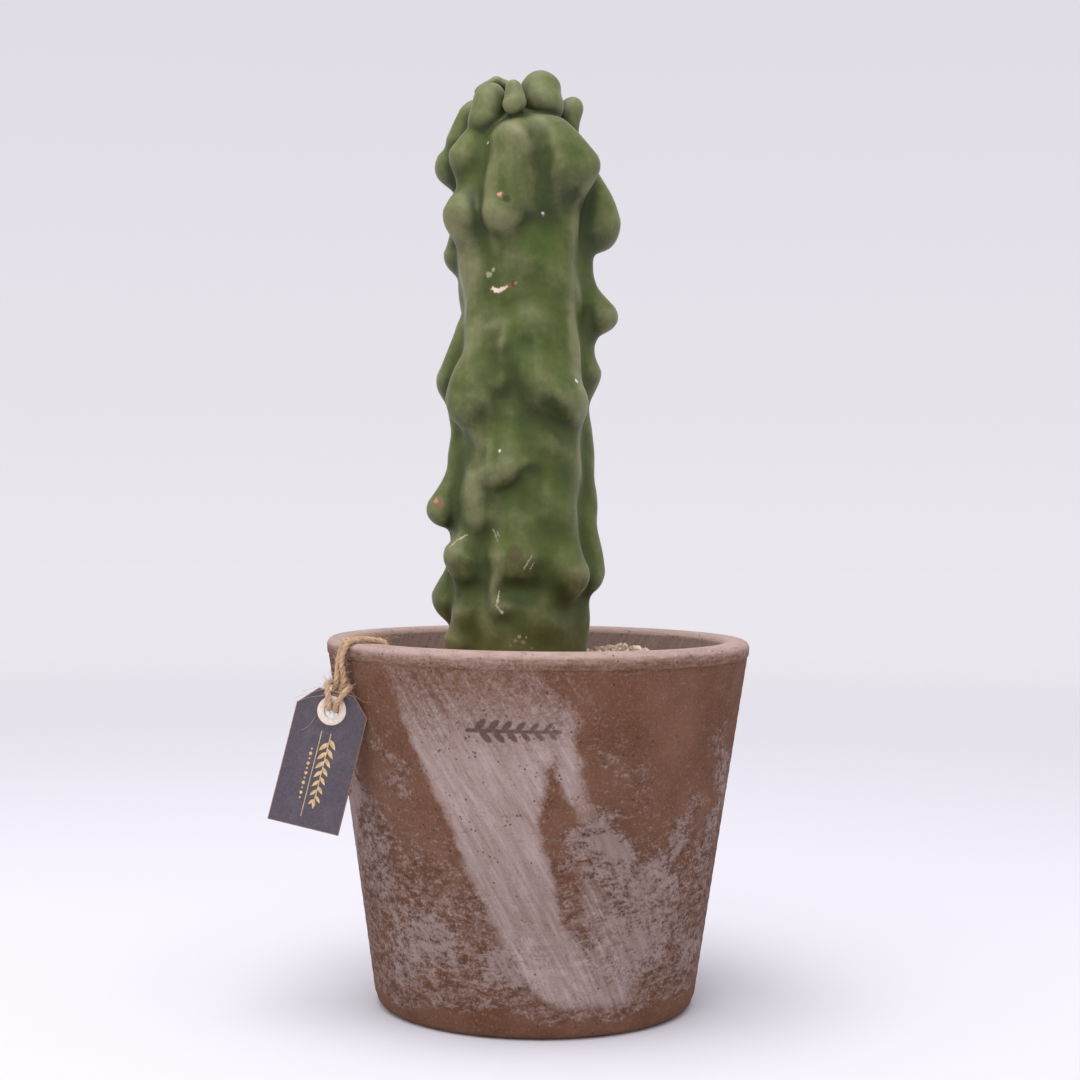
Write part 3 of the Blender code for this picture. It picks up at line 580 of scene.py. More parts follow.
# The strokes lean that many radians for each millimetre down, and the pattern runs that slowly along them.
SLANT, ALONG_STROKE = 0.0065, 0.0016
leaning = turn_grid + SLANT * height_grid
slanted = np.stack([np.sin(leaning), -np.cos(leaning), height_grid * ALONG_STROKE], axis=-1)
wrapped = (angle_grid + 180) % 360 - 180
# Off the outer wall, on the inside, the rim's top and underneath, the film and flecks are set evenly. The
# inner wall is set this pale partly for its lime and partly as painted light, as little light reaches it.
film = np.where(on_wall, bloom_film(wrapped, height_grid), 0.3)
flecks = np.where(on_wall, bloom_flecks(wrapped, height_grid), 0.72)
flecks *= smoothstep(4.0, 11.0, height_grid + 2.5 * np.sin(5 * turn_grid) + 1.5 * np.sin(13 * turn_grid + 1))
rim_bloom = 0.25 * smoothstep(155.0, 158.0, height_grid) + 0.6 * smoothstep(160.0, 163.5, height_grid)
rim_bloom *= row < lip_end
clay_mesh = grid_mesh(
    "clay_pot", clay_points, True,
    {"film": film.ravel(), "flecks": flecks.ravel(), "stamp": stamp.ravel(), "rim": rim_bloom.ravel(),
     "slanted": slanted.reshape(-1, 3)},
)

# Basalt-brown terracotta: open-pored fired clay, dead matt, with chalky lilac lime over it in patches.
clay, tree, shader = new_material("bloomed_terracotta", Roughness=0.92, IOR=1.45)
shader.inputs["Specular IOR Level"].default_value = 0.25
place = add(tree, "ShaderNodeTexCoord").outputs["Object"]
slant = add(tree, "ShaderNodeAttribute", attribute_name="slanted").outputs["Vector"]
film, flecks, stamped, rim = (
    add(tree, "ShaderNodeAttribute", attribute_name=label).outputs["Fac"]
    for label in ("film", "flecks", "stamp", "rim")
)
cloudy = add(
    tree, "ShaderNodeTexNoise", {"Vector": place, "Scale": 1 / (29.4 * MM), "Detail": 4.0, "Roughness": 0.6}
)
scaly = add(tree, "ShaderNodeMapping", {"Vector": place, "Scale": (1.0, 1.0, 1.8)})
patchy = add(
    tree, "ShaderNodeTexNoise",
    {"Vector": scaly, "Scale": 1 / (5.26 * MM), "Detail": 9.0, "Roughness": 0.78, "Distortion": 0.25},
)
gritty = add(
    tree, "ShaderNodeTexNoise", {"Vector": place, "Scale": 1 / (1.25 * MM), "Detail": 4.0, "Roughness": 0.75}
)
streaky = add(tree, "ShaderNodeTexNoise", {"Vector": slant, "Scale": 34.0, "Detail": 9.0, "Roughness": 0.72})
pores = add(tree, "ShaderNodeTexVoronoi", {"Vector": place, "Scale": 1 / (2.38 * MM), "Randomness": 1.0})
sparse = add(tree, "ShaderNodeTexNoise", {"Vector": place, "Scale": 1 / (6.25 * MM), "Detail": 2.0})

share = add(tree, "ShaderNodeMapRange", {"Value": cloudy, "From Min": 0.3, "From Max": 0.7})
body = add(
    tree, "ShaderNodeMix", {"Factor": share, "A": linear("#61402d"), "B": linear("#7b5846")}, data_type="RGBA"
)
# Sandy grit shows in it, and between the flecks it stays darker with damp.
damp = add(tree, "ShaderNodeMath", {0: flecks, 1: patchy}, operation="SUBTRACT")
for value, low, high, most, tint in ((gritty, 0.5, 0.72, 0.6, "#94705b"), (damp, 0.0, 0.14, 0.75, "#4d301f")):
    share = add(
        tree, "ShaderNodeMapRange", {"Value": value, "From Min": low, "From Max": high, "To Max": most}
    )
    body = add(
        tree, "ShaderNodeMix", {"Factor": share, "A": body.outputs[2], "B": linear(tint)}, data_type="RGBA"
    )
drag = add(tree, "ShaderNodeMath", {0: streaky, 1: 0.5, 2: -0.35}, operation="MULTIPLY_ADD")
drag = add(tree, "ShaderNodeMath", {0: gritty, 1: 0.7, 2: drag}, operation="MULTIPLY_ADD")
drag = add(tree, "ShaderNodeMath", {0: patchy, 1: 0.95, 2: drag}, operation="MULTIPLY_ADD")
film_edge = add(tree, "ShaderNodeMath", {0: film, 1: drag}, operation="ADD")
film_mask = add(
    tree, "ShaderNodeMapRange", {"Value": film_edge, "From Min": 1.00, "From Max": 1.80, "To Max": 1.0},
    interpolation_type="SMOOTHSTEP",
)
fleck_edge = add(tree, "ShaderNodeMath", {0: patchy, 1: flecks}, operation="ADD")
fleck_edge = add(tree, "ShaderNodeMath", {0: gritty, 1: 0.5, 2: fleck_edge}, operation="MULTIPLY_ADD")
fleck_mask = add(
    tree, "ShaderNodeMapRange", {"Value": fleck_edge, "From Min": 1.18, "From Max": 1.39, "To Max": 0.64},
    interpolation_type="SMOOTHSTEP",
)
flattened = add(tree, "ShaderNodeMapping", {"Vector": place, "Scale": (1.0, 1.0, 6.0)})
dashes = add(
    tree, "ShaderNodeTexNoise",
    {"Vector": flattened, "Scale": 1 / (8.33 * MM), "Detail": 6.0, "Roughness": 0.7},
)
rim_edge = add(tree, "ShaderNodeMath", {0: dashes, 1: 1.1, 2: rim}, operation="MULTIPLY_ADD")
rim_edge = add(tree, "ShaderNodeMath", {0: gritty, 1: 0.5, 2: rim_edge}, operation="MULTIPLY_ADD")
rim_mask = add(
    tree, "ShaderNodeMapRange", {"Value": rim_edge, "From Min": 0.82, "From Max": 1.9, "To Max": 0.97},
    interpolation_type="SMOOTHSTEP",
)
lime = add(tree, "ShaderNodeMath", {0: film_mask, 1: fleck_mask}, operation="MAXIMUM")
share = add(tree, "ShaderNodeMapRange", {"Value": streaky, "From Min": 0.35, "From Max": 0.65})
chalk = add(
    tree, "ShaderNodeMix", {"Factor": share, "A": linear("#9c867e"), "B": linear("#b6a39d")}, data_type="RGBA"
)
coated = add(
    tree, "ShaderNodeMix", {"Factor": lime, "A": body.outputs[2], "B": chalk.outputs[2]}, data_type="RGBA"
)
pit_mask = add(
    tree, "ShaderNodeMapRange",
    {"Value": pores.outputs["Distance"], "From Min": 0.10, "From Max": 0.24, "To Min": 0.8, "To Max": 0.0},
)
sparse = add(tree, "ShaderNodeMapRange", {"Value": sparse, "From Min": 0.50, "From Max": 0.60})
pit_mask = add(tree, "ShaderNodeMath", {0: pit_mask, 1: sparse}, operation="MULTIPLY")
stamp_mask = add(
    tree, "ShaderNodeMapRange", {"Value": stamped, "From Min": 0.1, "From Max": 0.7, "To Max": 0.72}
)
for share, tint in ((rim_mask, "#bfa69c"), (pit_mask, "#452c20"), (stamp_mask, "#543a2f")):
    coated = add(
        tree, "ShaderNodeMix", {"Factor": share, "A": coated.outputs[2], "B": linear(tint)}, data_type="RGBA"
    )
tree.links.new(coated.outputs[2], shader.inputs["Base Color"])
sunk = add(tree, "ShaderNodeMath", {0: pit_mask, 1: -1.0, 2: gritty}, operation="MULTIPLY_ADD")
sunk = add(tree, "ShaderNodeMath", {0: fleck_mask, 1: 0.5, 2: sunk}, operation="MULTIPLY_ADD")
relief = add(tree, "ShaderNodeBump", {"Height": sunk, "Strength": 0.8, "Distance": 0.0006})
tree.links.new(relief.outputs[0], shader.inputs["Normal"])

pot = new_object("clay_pot", clay_mesh, clay)
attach(pot, "root")
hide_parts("pot")


# ---- Soil and gravel ----
# The pot is filled with bark and peat mix, dressed with a layer of pale 3 to 5 mm crushed grit, loosely
# raked and heaped behind the stem's right side.
GRAVEL_TOP = RIM_TOP - 12.0 * MM
STEM_X = -9.0 * MM
BED_HOLE = 25.8 * MM  # the bed's edge, hidden inside the stem
BED_DEPTH, BED_BELOW_GRAINS = 6.4 * MM, 0.4 * MM
gravel_edge = wall_radius(GRAVEL_TOP) - POT_WALL - 0.6 * MM

soil, tree, shader = new_material("potting_mix", Roughness=1.0)
place = add(tree, "ShaderNodeTexCoord").outputs["Object"]
crumbs = add(
    tree, "ShaderNodeTexNoise", {"Vector": place, "Scale": 1 / (4.55 * MM), "Detail": 8.0, "Roughness": 0.7}
)
share = add(tree, "ShaderNodeMapRange", {"Value": crumbs, "From Min": 0.4, "From Max": 0.65})
dark = add(
    tree, "ShaderNodeMix", {"Factor": share, "A": linear("#1d150f"), "B": linear("#4a3626")}, data_type="RGBA"
)
tree.links.new(dark.outputs[2], shader.inputs["Base Color"])
relief = add(tree, "ShaderNodeBump", {"Height": crumbs, "Strength": 1.0, "Distance": 0.001})
tree.links.new(relief.outputs[0], shader.inputs["Normal"])
soil_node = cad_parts["potting_soil"]
soil_node.data.materials.clear()
soil_node.data.materials.append(soil)

HEAP_X, HEAP_Y, HEAP_SPREAD, HEAP_HEIGHT, BUMP_HEIGHT = 38.0 * MM, 20.0 * MM, 12.5 * MM, 7.0 * MM, 0.4 * MM


def gravel_height(x, y):
    """The grit's level surface with its low bumps and the heap, in metres."""
    heap = np.exp(-((x - HEAP_X) ** 2 + (y - HEAP_Y) ** 2) / (2 * HEAP_SPREAD**2))
    bumps = np.sin(x * 700 + 1.0) * np.sin(y * 620 + 2.0) + 0.6 * np.sin(x * 1250 + y * 900)
    return GRAVEL_TOP + HEAP_HEIGHT * heap + BUMP_HEIGHT * bumps


bed_turns = np.linspace(0, 2 * math.pi, 121)[:-1]
bed_rows = []
for share in np.linspace(0.0, 1.0, 30):
    near = np.stack([STEM_X + BED_HOLE * np.sin(bed_turns), -BED_HOLE * np.cos(bed_turns)])
    far = np.stack([gravel_edge * np.sin(bed_turns), -gravel_edge * np.cos(bed_turns)])
    x, y = near + (far - near) * share
    bed_rows.append(np.stack([x, y, gravel_height(x, y) - BED_BELOW_GRAINS], axis=-1))
bed_top = np.array(bed_rows)
bed_floor = bed_top[[-1, 0]] * (1, 1, 0) + (0, 0, GRAVEL_TOP - BED_DEPTH)

grit, tree, shader = new_material("pale_grit", Roughness=0.85, IOR=1.5)
shader.inputs["Specular IOR Level"].default_value = 0.3
place = add(tree, "ShaderNodeTexCoord").outputs["Object"]
tint = add(tree, "ShaderNodeAttribute", attribute_name="tint").outputs["Fac"]
veins = add(
    tree, "ShaderNodeTexNoise", {"Vector": place, "Scale": 1 / (1.67 * MM), "Detail": 4.0, "Roughness": 0.6}
)
share = add(tree, "ShaderNodeMapRange", {"Value": tint, "From Min": 0.0, "From Max": 1.0})
stone = add(
    tree, "ShaderNodeMix", {"Factor": share, "A": linear("#b08f74"), "B": linear("#e8dac4")}, data_type="RGBA"
)
share = add(tree, "ShaderNodeMapRange", {"Value": veins, "From Min": 0.5, "From Max": 0.75, "To Max": 0.6})
stone = add(
    tree, "ShaderNodeMix", {"Factor": share, "A": stone.outputs[2], "B": linear("#8f7160")}, data_type="RGBA"
)
tree.links.new(stone.outputs[2], shader.inputs["Base Color"])
relief = add(tree, "ShaderNodeBump", {"Height": veins, "Strength": 0.5, "Distance": 0.0003})
tree.links.new(relief.outputs[0], shader.inputs["Normal"])

bed_mesh = grid_mesh("gravel_bed", np.concatenate([bed_top, bed_floor]), True)
bed = new_object("gravel_bed", bed_mesh, grit)

GRIT_SIZES = {"Apart": 2.7 * MM, "Grain radius": 1.9 * MM, "Chipped": 3.4 * MM, "Seed": 3}
tree, given = geometry_tree("loose_grit", GRIT_SIZES)
sites = add(
    tree, "GeometryNodeDistributePointsOnFaces",
    {"Mesh": given["Geometry"], "Distance Min": given["Apart"], "Density Max": 400000.0,
     "Seed": given["Seed"]},
    distribute_method="POISSON",
)
lump = add(tree, "GeometryNodeMeshIcoSphere", {"Radius": given["Grain radius"], "Subdivisions": 2})
spin = add(
    tree, "FunctionNodeRandomValue",
    {"Min": (-math.pi,) * 3, "Max": (math.pi,) * 3, "Seed": given["Seed"]}, data_type="FLOAT_VECTOR",
)
size = add(
    tree, "FunctionNodeRandomValue",
    {"Min": (0.6, 0.5, 0.4), "Max": (1.35, 1.0, 0.9), "Seed": given["Seed"]}, data_type="FLOAT_VECTOR",
)
grains = add(
    tree, "GeometryNodeInstanceOnPoints",
    {"Points": sites.outputs["Points"], "Instance": lump, "Rotation": spin, "Scale": size},
)
shade = add(
    tree, "FunctionNodeRandomValue", {"Min": 0.0, "Max": 1.0, "Seed": given["Seed"]}, data_type="FLOAT"
)
grains = add(
    tree, "GeometryNodeStoreNamedAttribute",
    {"Geometry": grains, "Name": "tint", "Value": shade.outputs[1]}, data_type="FLOAT", domain="INSTANCE",
)
grains = add(tree, "GeometryNodeRealizeInstances", {"Geometry": grains})
chip = add(tree, "ShaderNodeTexNoise", {"Scale": 1 / (2.381 * MM), "Detail": 1.0})
chip = add(tree, "ShaderNodeVectorMath", {0: chip.outputs["Color"], 1: (0.5, 0.5, 0.5)}, operation="SUBTRACT")
chip = add(tree, "ShaderNodeVectorMath", {0: chip, "Scale": given["Chipped"]}, operation="SCALE")
grains = add(tree, "GeometryNodeSetPosition", {"Geometry": grains, "Offset": chip})
grains = add(tree, "GeometryNodeSetShadeSmooth", {"Geometry": grains, "Shade Smooth": False})
sown = grid_mesh("grit_sites", bed_top[3:-1], False)
gravel = grown("loose_grit", sown, tree, GRIT_SIZES, grains, grit)
for piece in (bed, gravel):
    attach(piece, "root")
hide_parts("top_gravel")


# ---- Cactus ----
# The stem grew as one piece: a spineless column whose seven ribs have broken up into drooping noses, with a
# crown of young ones. Its skin is waxy, under a grey powder that wears off where the noses swell.
STEM_HEIGHT, STEM_RADIUS = 251.0 * MM, 28.5 * MM
RIDGE_GIRTH, BACK_SWELL, CROWN_SHARE = 5.5 * MM, 2.0 * MM, 0.945
FLESH_BLEND, RIDGE_BLEND, CREASE_BLEND, KNOB_BLEND = 5.4 * MM, 7.5 * MM, 5.0 * MM, 2.0 * MM
WANDER = 0.9 * MM
CROWN_CENTRE = GRAVEL_TOP + STEM_HEIGHT - STEM_RADIUS
STEM_FOOT = GRAVEL_TOP - 9.0 * MM

# Each rib is a row of noses, from the top down: angle, share of the stem's height, swell beyond the stem's
# radius, the nose's own radius, how far above it its back rises, the back's lean in degrees, and the swell
# of the ridge that runs on below it.
RIBS = {
    "front": [(-10, 0.352, 0.0096, 0.0125, 0.020, -4, 0.0010),
              (-3, 0.192, 0.0088, 0.0110, 0.016, 4, 0.0012), (-13, 0.112, 0.0040, 0.0050, 0.008, 0, 0.0)],
    "front_right": [(50, 0.880, 0.0114, 0.0100, 0.022, -14, 0.0042),
                    (34, 0.478, 0.0116, 0.0150, 0.028, -8, 0.0),
                    (52, 0.470, 0.0066, 0.0080, 0.040, -10, 0.0022),
                    (44, 0.172, 0.0105, 0.0130, 0.028, -4, 0.0)],
    "right": [(92, 0.786, 0.0158, 0.0115, 0.030, 2, 0.0030), (90, 0.625, 0.0140, 0.0080, 0.016, 0, 0.0030),
              (93, 0.524, 0.0074, 0.0110, 0.012, 0, 0.0030), (82, 0.164, 0.0112, 0.0090, 0.050, 6, 0.0010)],
    "back_right": [(143, 0.870, 0.0105, 0.0110, 0.022, 6, 0.003),
                   (146, 0.700, 0.0115, 0.0105, 0.020, -6, 0.002),
                   (139, 0.530, 0.0090, 0.0115, 0.022, 4, 0.003),
                   (145, 0.360, 0.0120, 0.0105, 0.024, -8, 0.002),
                   (141, 0.190, 0.0100, 0.0110, 0.020, 5, 0.003)],
    "back": [(192, 0.910, 0.0070, 0.0100, 0.016, 8, 0.003), (197, 0.765, 0.0125, 0.0110, 0.026, -5, 0.003),
             (194, 0.600, 0.0095, 0.0100, 0.018, 6, 0.002), (200, 0.430, 0.0115, 0.0110, 0.024, -7, 0.003),
             (193, 0.270, 0.0085, 0.0100, 0.018, 4, 0.003), (198, 0.120, 0.0105, 0.0100, 0.020, -4, 0.002)],
    "left": [(-97, 0.896, 0.0118, 0.0100, 0.022, 0, 0.0030), (-97, 0.738, 0.0070, 0.0095, 0.010, 0, 0.0),
             (-88, 0.514, 0.0100, 0.0105, 0.020, 4, 0.0020), (-72, 0.281, 0.0142, 0.0085, 0.026, -6, 0.0010),
             (-97, 0.116, 0.0112, 0.0120, 0.016, 4, 0.0020)],
    "front_left": [(-64, 0.905, 0.0080, 0.0075, 0.018, 6, 0.0040),
                   (-57, 0.796, 0.0112, 0.0105, 0.016, -4, 0.0035),
                   (-46, 0.470, 0.0124, 0.0125, 0.026, 2, 0.0014),
                   (-55, 0.198, 0.0096, 0.0092, 0.010, 6, 0.0045),
                   (-64, 0.048, 0.0076, 0.0075, 0.014, 3, 0.0)],
}
# Folds of flesh that belong to no rib: angle, share of the height and swell at each end, the radius, and how
# softly each melts in.
FOLDS = [
    ((36, 0.905, 0.0050), (30, 0.860, 0.0070), 0.0150, 0.009),
    ((-9, 0.912, 0.0046), (-13, 0.808, 0.0086), 0.0120, 0.0042),
    ((-18, 0.590, 0.0022), (-19, 0.510, 0.0026), 0.0045, 0.007),
    ((-34, 0.420, 0.0030), (-38, 0.270, 0.0034), 0.0050, 0.009),
    ((8, 0.300, 0.0022), (18, 0.090, 0.0032), 0.0100, 0.009),
    ((25, 0.380, 0.0040), (32, 0.280, 0.0044), 0.0120, 0.009),
    ((112, 0.420, 0.0030), (110, 0.230, 0.0034), 0.0110, 0.009),
    ((10, 0.590, 0.0056), (26, 0.500, 0.0096), 0.0140, 0.0030),
    ((-17, 0.585, 0.0040), (-17, 0.572, 0.0044), 0.0050, 0.0030),
]
# Creases pressed into the flesh, given as the folds are: the swell is that of the groove's bottom.
CREASES = [
    ((-31, 0.575, 0.0030), (-27, 0.550, 0.0034), 0.0060), ((2, 0.552, 0.0052), (0, 0.530, 0.0052), 0.0060),
    ((10, 0.330, 0.0042), (9, 0.290, 0.0042), 0.0050), ((4, 0.960, -0.0010), (14, 0.888, 0.0034), 0.0030),
    ((14, 0.888, 0.0034), (18, 0.800, 0.0040), 0.0030),
    ((-22, 0.590, 0.0034), (-19, 0.520, 0.0044), 0.0026),
    ((-60, 0.405, 0.0036), (-38, 0.372, 0.0040), 0.0050),
    ((20, 0.440, 0.0062), (46, 0.402, 0.0056), 0.0060), ((-20, 0.292, 0.0052), (4, 0.310, 0.0054), 0.0056),
    ((-24, 0.738, 0.0034), (-2, 0.742, 0.0034), 0.0050), ((44, 0.812, 0.0034), (56, 0.812, 0.0034), 0.0050),
    ((-57, 0.727, 0.0030), (-40, 0.730, 0.0030), 0.0050),
    ((-56, 0.132, 0.0030), (-38, 0.132, 0.0030), 0.0050),
    ((40, 0.098, 0.0030), (56, 0.098, 0.0030), 0.0050), ((-12, 0.135, 0.0026), (8, 0.130, 0.0026), 0.0050),
]
# The crown's young noses, as swept balls: start, radius, end, radius, measured from the crown's centre.
CROWN_KNOBS = [
    ((-0.0037, -0.0212, 0.0256), 0.0053, (-0.0036, -0.0190, 0.0318), 0.0038),
    ((0.0076, -0.0034, 0.0358), 0.0092, (0.0096, -0.0076, 0.0290), 0.0094),
    ((-0.0142, -0.0108, 0.0286), 0.0076, (-0.0162, -0.0122, 0.0200), 0.0084),
    ((-0.0190, -0.0040, 0.0342), 0.0024, (-0.0130, -0.0010, 0.0388), 0.0024),
    ((-0.0130, -0.0010, 0.0388), 0.0024, (-0.0055, -0.0020, 0.0370), 0.0026),
    ((-0.0135, 0.0010, 0.0350), 0.0034, (-0.0070, 0.0010, 0.0330), 0.0040),
    ((0.0208, 0.0050, 0.0270), 0.0066, (0.0178, 0.0060, 0.0130), 0.0075),
    ((0.0020, 0.0150, 0.0270), 0.0085, (0.0030, 0.0220, 0.0150), 0.0090),
    ((-0.0140, 0.0110, 0.0280), 0.0078, (-0.0200, 0.0150, 0.0130), 0.0085),
    ((-0.0220, 0.0030, 0.0240), 0.0070, (-0.0260, 0.0020, 0.0120), 0.0090),
]


def on_stem(angle, height, radius):
    """The point at an angle in degrees round the stem's axis, a height and a distance from the axis."""
    turn = math.radians(angle)
    return np.array((STEM_X + radius * math.sin(turn), -radius * math.cos(turn), height))


def swell_point(angle, share, swell, inwards):
    """A ball's centre, that far inside the skin point with that swell beyond the stem's radius."""
    return on_stem(angle, GRAVEL_TOP + STEM_HEIGHT * share, STEM_RADIUS + swell - inwards)


crown = np.array((STEM_X, 0.0, CROWN_CENTRE))
# The stem's swept balls: start, start radius, end, end radius, and how softly each melts in.
flesh_pieces = [(np.array((STEM_X, 0.0, 0.10)), STEM_RADIUS + 0.001, crown, STEM_RADIUS - 0.001, FLESH_BLEND)]
for noses in RIBS.values():
    ridge = None
    for angle, share, swell, girth, rise, lean, crest in noses:
        back_girth = girth * 0.6
        back_share = min(share + rise / STEM_HEIGHT, CROWN_SHARE)
        back_swell = BACK_SWELL if back_share < CROWN_SHARE else 0
        nose = swell_point(angle, share, swell, girth)
        back = swell_point(angle + lean, back_share, back_swell, back_girth)
        flesh_pieces.append((back, back_girth, nose, girth, FLESH_BLEND))
        if ridge is not None:
            flesh_pieces.append((ridge, RIDGE_GIRTH, back, RIDGE_GIRTH, RIDGE_BLEND))
        ridge = swell_point(angle, share - girth / STEM_HEIGHT, crest, RIDGE_GIRTH) if crest else None
    if ridge is not None:
        soil_end = swell_point(noses[-1][0], -0.03, noses[-1][-1], RIDGE_GIRTH)
        flesh_pieces.append((ridge, RIDGE_GIRTH, soil_end, RIDGE_GIRTH, RIDGE_BLEND))
for start, end, girth, softness in FOLDS:
    flesh_pieces.append((swell_point(*start, girth), girth, swell_point(*end, girth), girth, softness))
for start, start_radius, end, end_radius in CROWN_KNOBS:
    flesh_pieces.append((crown + start, start_radius, crown + end, end_radius, KNOB_BLEND))


def distance_to_piece(points, start, start_radius, end, end_radius):
    along = end - start
    share = np.clip((points - start) @ along / (along @ along), 0, 1)
    apart = np.linalg.norm(points - start - share[:, None] * along, axis=1)
    return apart - start_radius - share * (end_radius - start_radius)


def melted(first, second, softness):
    """The nearer of two distances, rounded over where they are about equal."""
    melt = np.maximum(softness - np.abs(first - second), 0) / softness
    return np.minimum(first, second) - melt * melt * softness / 4


def flesh(points):
    """Distance from each point to the stem's skin, negative inside."""
    x, y, z = points.T
    push = np.stack([np.sin(z * 97 + y * 61 + 0.8) + 0.5 * np.sin(z * 233 + y * 171 + 2.1),
                     np.sin(z * 113 + x * 73 + 2.4) + 0.5 * np.sin(z * 251 + x * 187 + 0.3),
                     np.sin(x * 131 + y * 89 + 1.7) + 0.5 * np.sin(x * 263 + y * 211 + z * 97 + 4.0)], axis=1)
    points = points + WANDER * push
    total = distance_to_piece(points, *flesh_pieces[0][:4])
    for start, start_radius, end, end_radius, softness in flesh_pieces[1:]:
        reach = max(start_radius, end_radius) + softness + 12 * MM
        low, high = min(start[2], end[2]) - reach, max(start[2], end[2]) + reach
        near = np.nonzero((points[:, 2] > low) & (points[:, 2] < high))[0]
        apart = distance_to_piece(points[near], start, start_radius, end, end_radius)
        total[near] = melted(total[near], apart, softness)
    for *ends, girth in CREASES:
        start, end = (swell_point(*mark, -girth) for mark in ends)
        pressed = distance_to_piece(points, start, girth, end, girth)
        total = -melted(-total, pressed, CREASE_BLEND)
    return np.maximum(total, STEM_FOOT - z)


def skin_over(distance, low, high, step):
    """Points and outward quads of the surface where a distance changes sign: one point for each grid cell
    that the surface crosses, the middle of its crossings, pulled onto the surface."""
    block = 4
    counts = np.ceil((np.array(high) - low) / (step * block)).astype(int)
    middles = np.stack(np.meshgrid(*[np.arange(n) for n in counts], indexing="ij"), axis=-1) + 0.5
    rough = distance((middles * step * block + low).reshape(-1, 3)).reshape(counts)
    values = np.where(rough < 0, -1.0, 1.0)
    for axis in range(3):
        values = np.repeat(values, block, axis=axis)
        rough = np.repeat(rough, block, axis=axis)
    near = np.argwhere(np.abs(rough) < step * block * 1.6)
    values[tuple(near.T)] = distance(near * step + low)
    corners = np.array([(i, j, k) for i in (0, 1) for j in (0, 1) for k in (0, 1)])
    inside = values < 0
    size = np.array(values.shape) - 1
    at_corners = [inside[i : i + size[0], j : j + size[1], k : k + size[2]] for i, j, k in corners]
    count = sum(corner.astype(np.int8) for corner in at_corners)
    cells = np.argwhere((count > 0) & (count < 8))
    at_corner = np.stack([values[tuple((cells + corner).T)] for corner in corners], axis=1)
    total, crossings = np.zeros((len(cells), 3)), np.zeros(len(cells))
    for a in range(8):
        for b in range(a + 1, 8):
            if np.abs(corners[a] - corners[b]).sum() != 1:
                continue
            crossed = (at_corner[:, a] < 0) != (at_corner[:, b] < 0)
            drop = np.where(crossed, at_corner[:, a] - at_corner[:, b], 1)
            share = np.where(crossed, at_corner[:, a] / drop, 0)
            total += crossed[:, None] * (corners[a] + share[:, None] * (corners[b] - corners[a]))
            crossings += crossed
    points = (cells + total / crossings[:, None]) * step + low
    number = np.full(values.shape, -1)
    number[tuple(cells.T)] = np.arange(len(cells))
    quads = []
    for axis in range(3):
        one = np.eye(3, dtype=int)[axis]
        side, other = np.eye(3, dtype=int)[(axis + 1) % 3], np.eye(3, dtype=int)[(axis + 2) % 3]
        first = inside[tuple(slice(0, n - d) for n, d in zip(inside.shape, one))]
        second = inside[tuple(slice(d, None) for d in one)]
        for edges, turn in ((np.argwhere(first & ~second), 1), (np.argwhere(~first & second), -1)):
            ring = [number[tuple((edges - shift).T)] for shift in (0 * one, side, side + other, other)]
            quads.append(np.stack(ring[::turn], axis=1))
    quads = np.concatenate(quads)
    for _ in range(3):
        slope = np.stack([distance(points + nudge) for nudge in np.eye(3) * 0.3 * MM], axis=1)
        here = distance(points)
        slope = (slope - here[:, None]) / (0.3 * MM)
        points = points - np.clip(here, -step, step)[:, None] * slope / (slope**2).sum(axis=1, keepdims=True)
    return points, quads


def relaxed(points, faces, rounds):
    """The points after each has moved to the mean of its neighbours that many times."""
    edges = np.concatenate([faces[:, [i, (i + 1) % 4]] for i in range(4)])
    edges = np.concatenate([edges, edges[:, ::-1]])
    number = np.bincount(edges[:, 0], minlength=len(points))
    for _ in range(rounds):
        total = [np.bincount(edges[:, 0], points[edges[:, 1], axis], len(points)) for axis in range(3)]
        points = np.stack(total, axis=1) / number[:, None]
    return points


SKIN_STEP = 1.0 * MM
skin, quads = skin_over(flesh, (-0.062, -0.050, GRAVEL_TOP - 0.012), (0.046, 0.050, 0.426), SKIN_STEP)
skin_mesh = mesh_of("cactus_skin", skin, quads)
normals = np.empty(len(skin) * 3)
skin_mesh.vertex_normals.foreach_get("vector", normals)
normals = normals.reshape(-1, 3)
rounds = 34
slack = relaxed(skin, quads, rounds)
relief_height = ((skin - slack) * normals).sum(axis=1) / MM
# How shut in by flesh each skin point is, from 0 to 1, for the painted shade in the hollows. The downward
# tilt stored with it is for the painted shade under the noses.
hollow_shade = 1 - np.clip(flesh(skin + normals * 6 * MM) / (6 * MM), 0, 1)
for label, values in (("ridge", relief_height), ("hollow_shade", hollow_shade), ("underside_shade", -normals[:, 2])):
    store_values(skin_mesh, label, values)


def soft_spots(angles, heights, spots):
    """The strongest of a list of soft spots at each place: angle, height, half sizes and amount."""
    total = np.zeros_like(angles)
    for angle, height, half_width, half_height, amount in spots:
        apart = (angles - angle + 180) % 360 - 180
        reach = np.sqrt((apart / half_width) ** 2 + ((heights - height) / half_height) ** 2)
        total = np.maximum(total, amount * smoothstep(1.3, 0.2, reach))
    return total


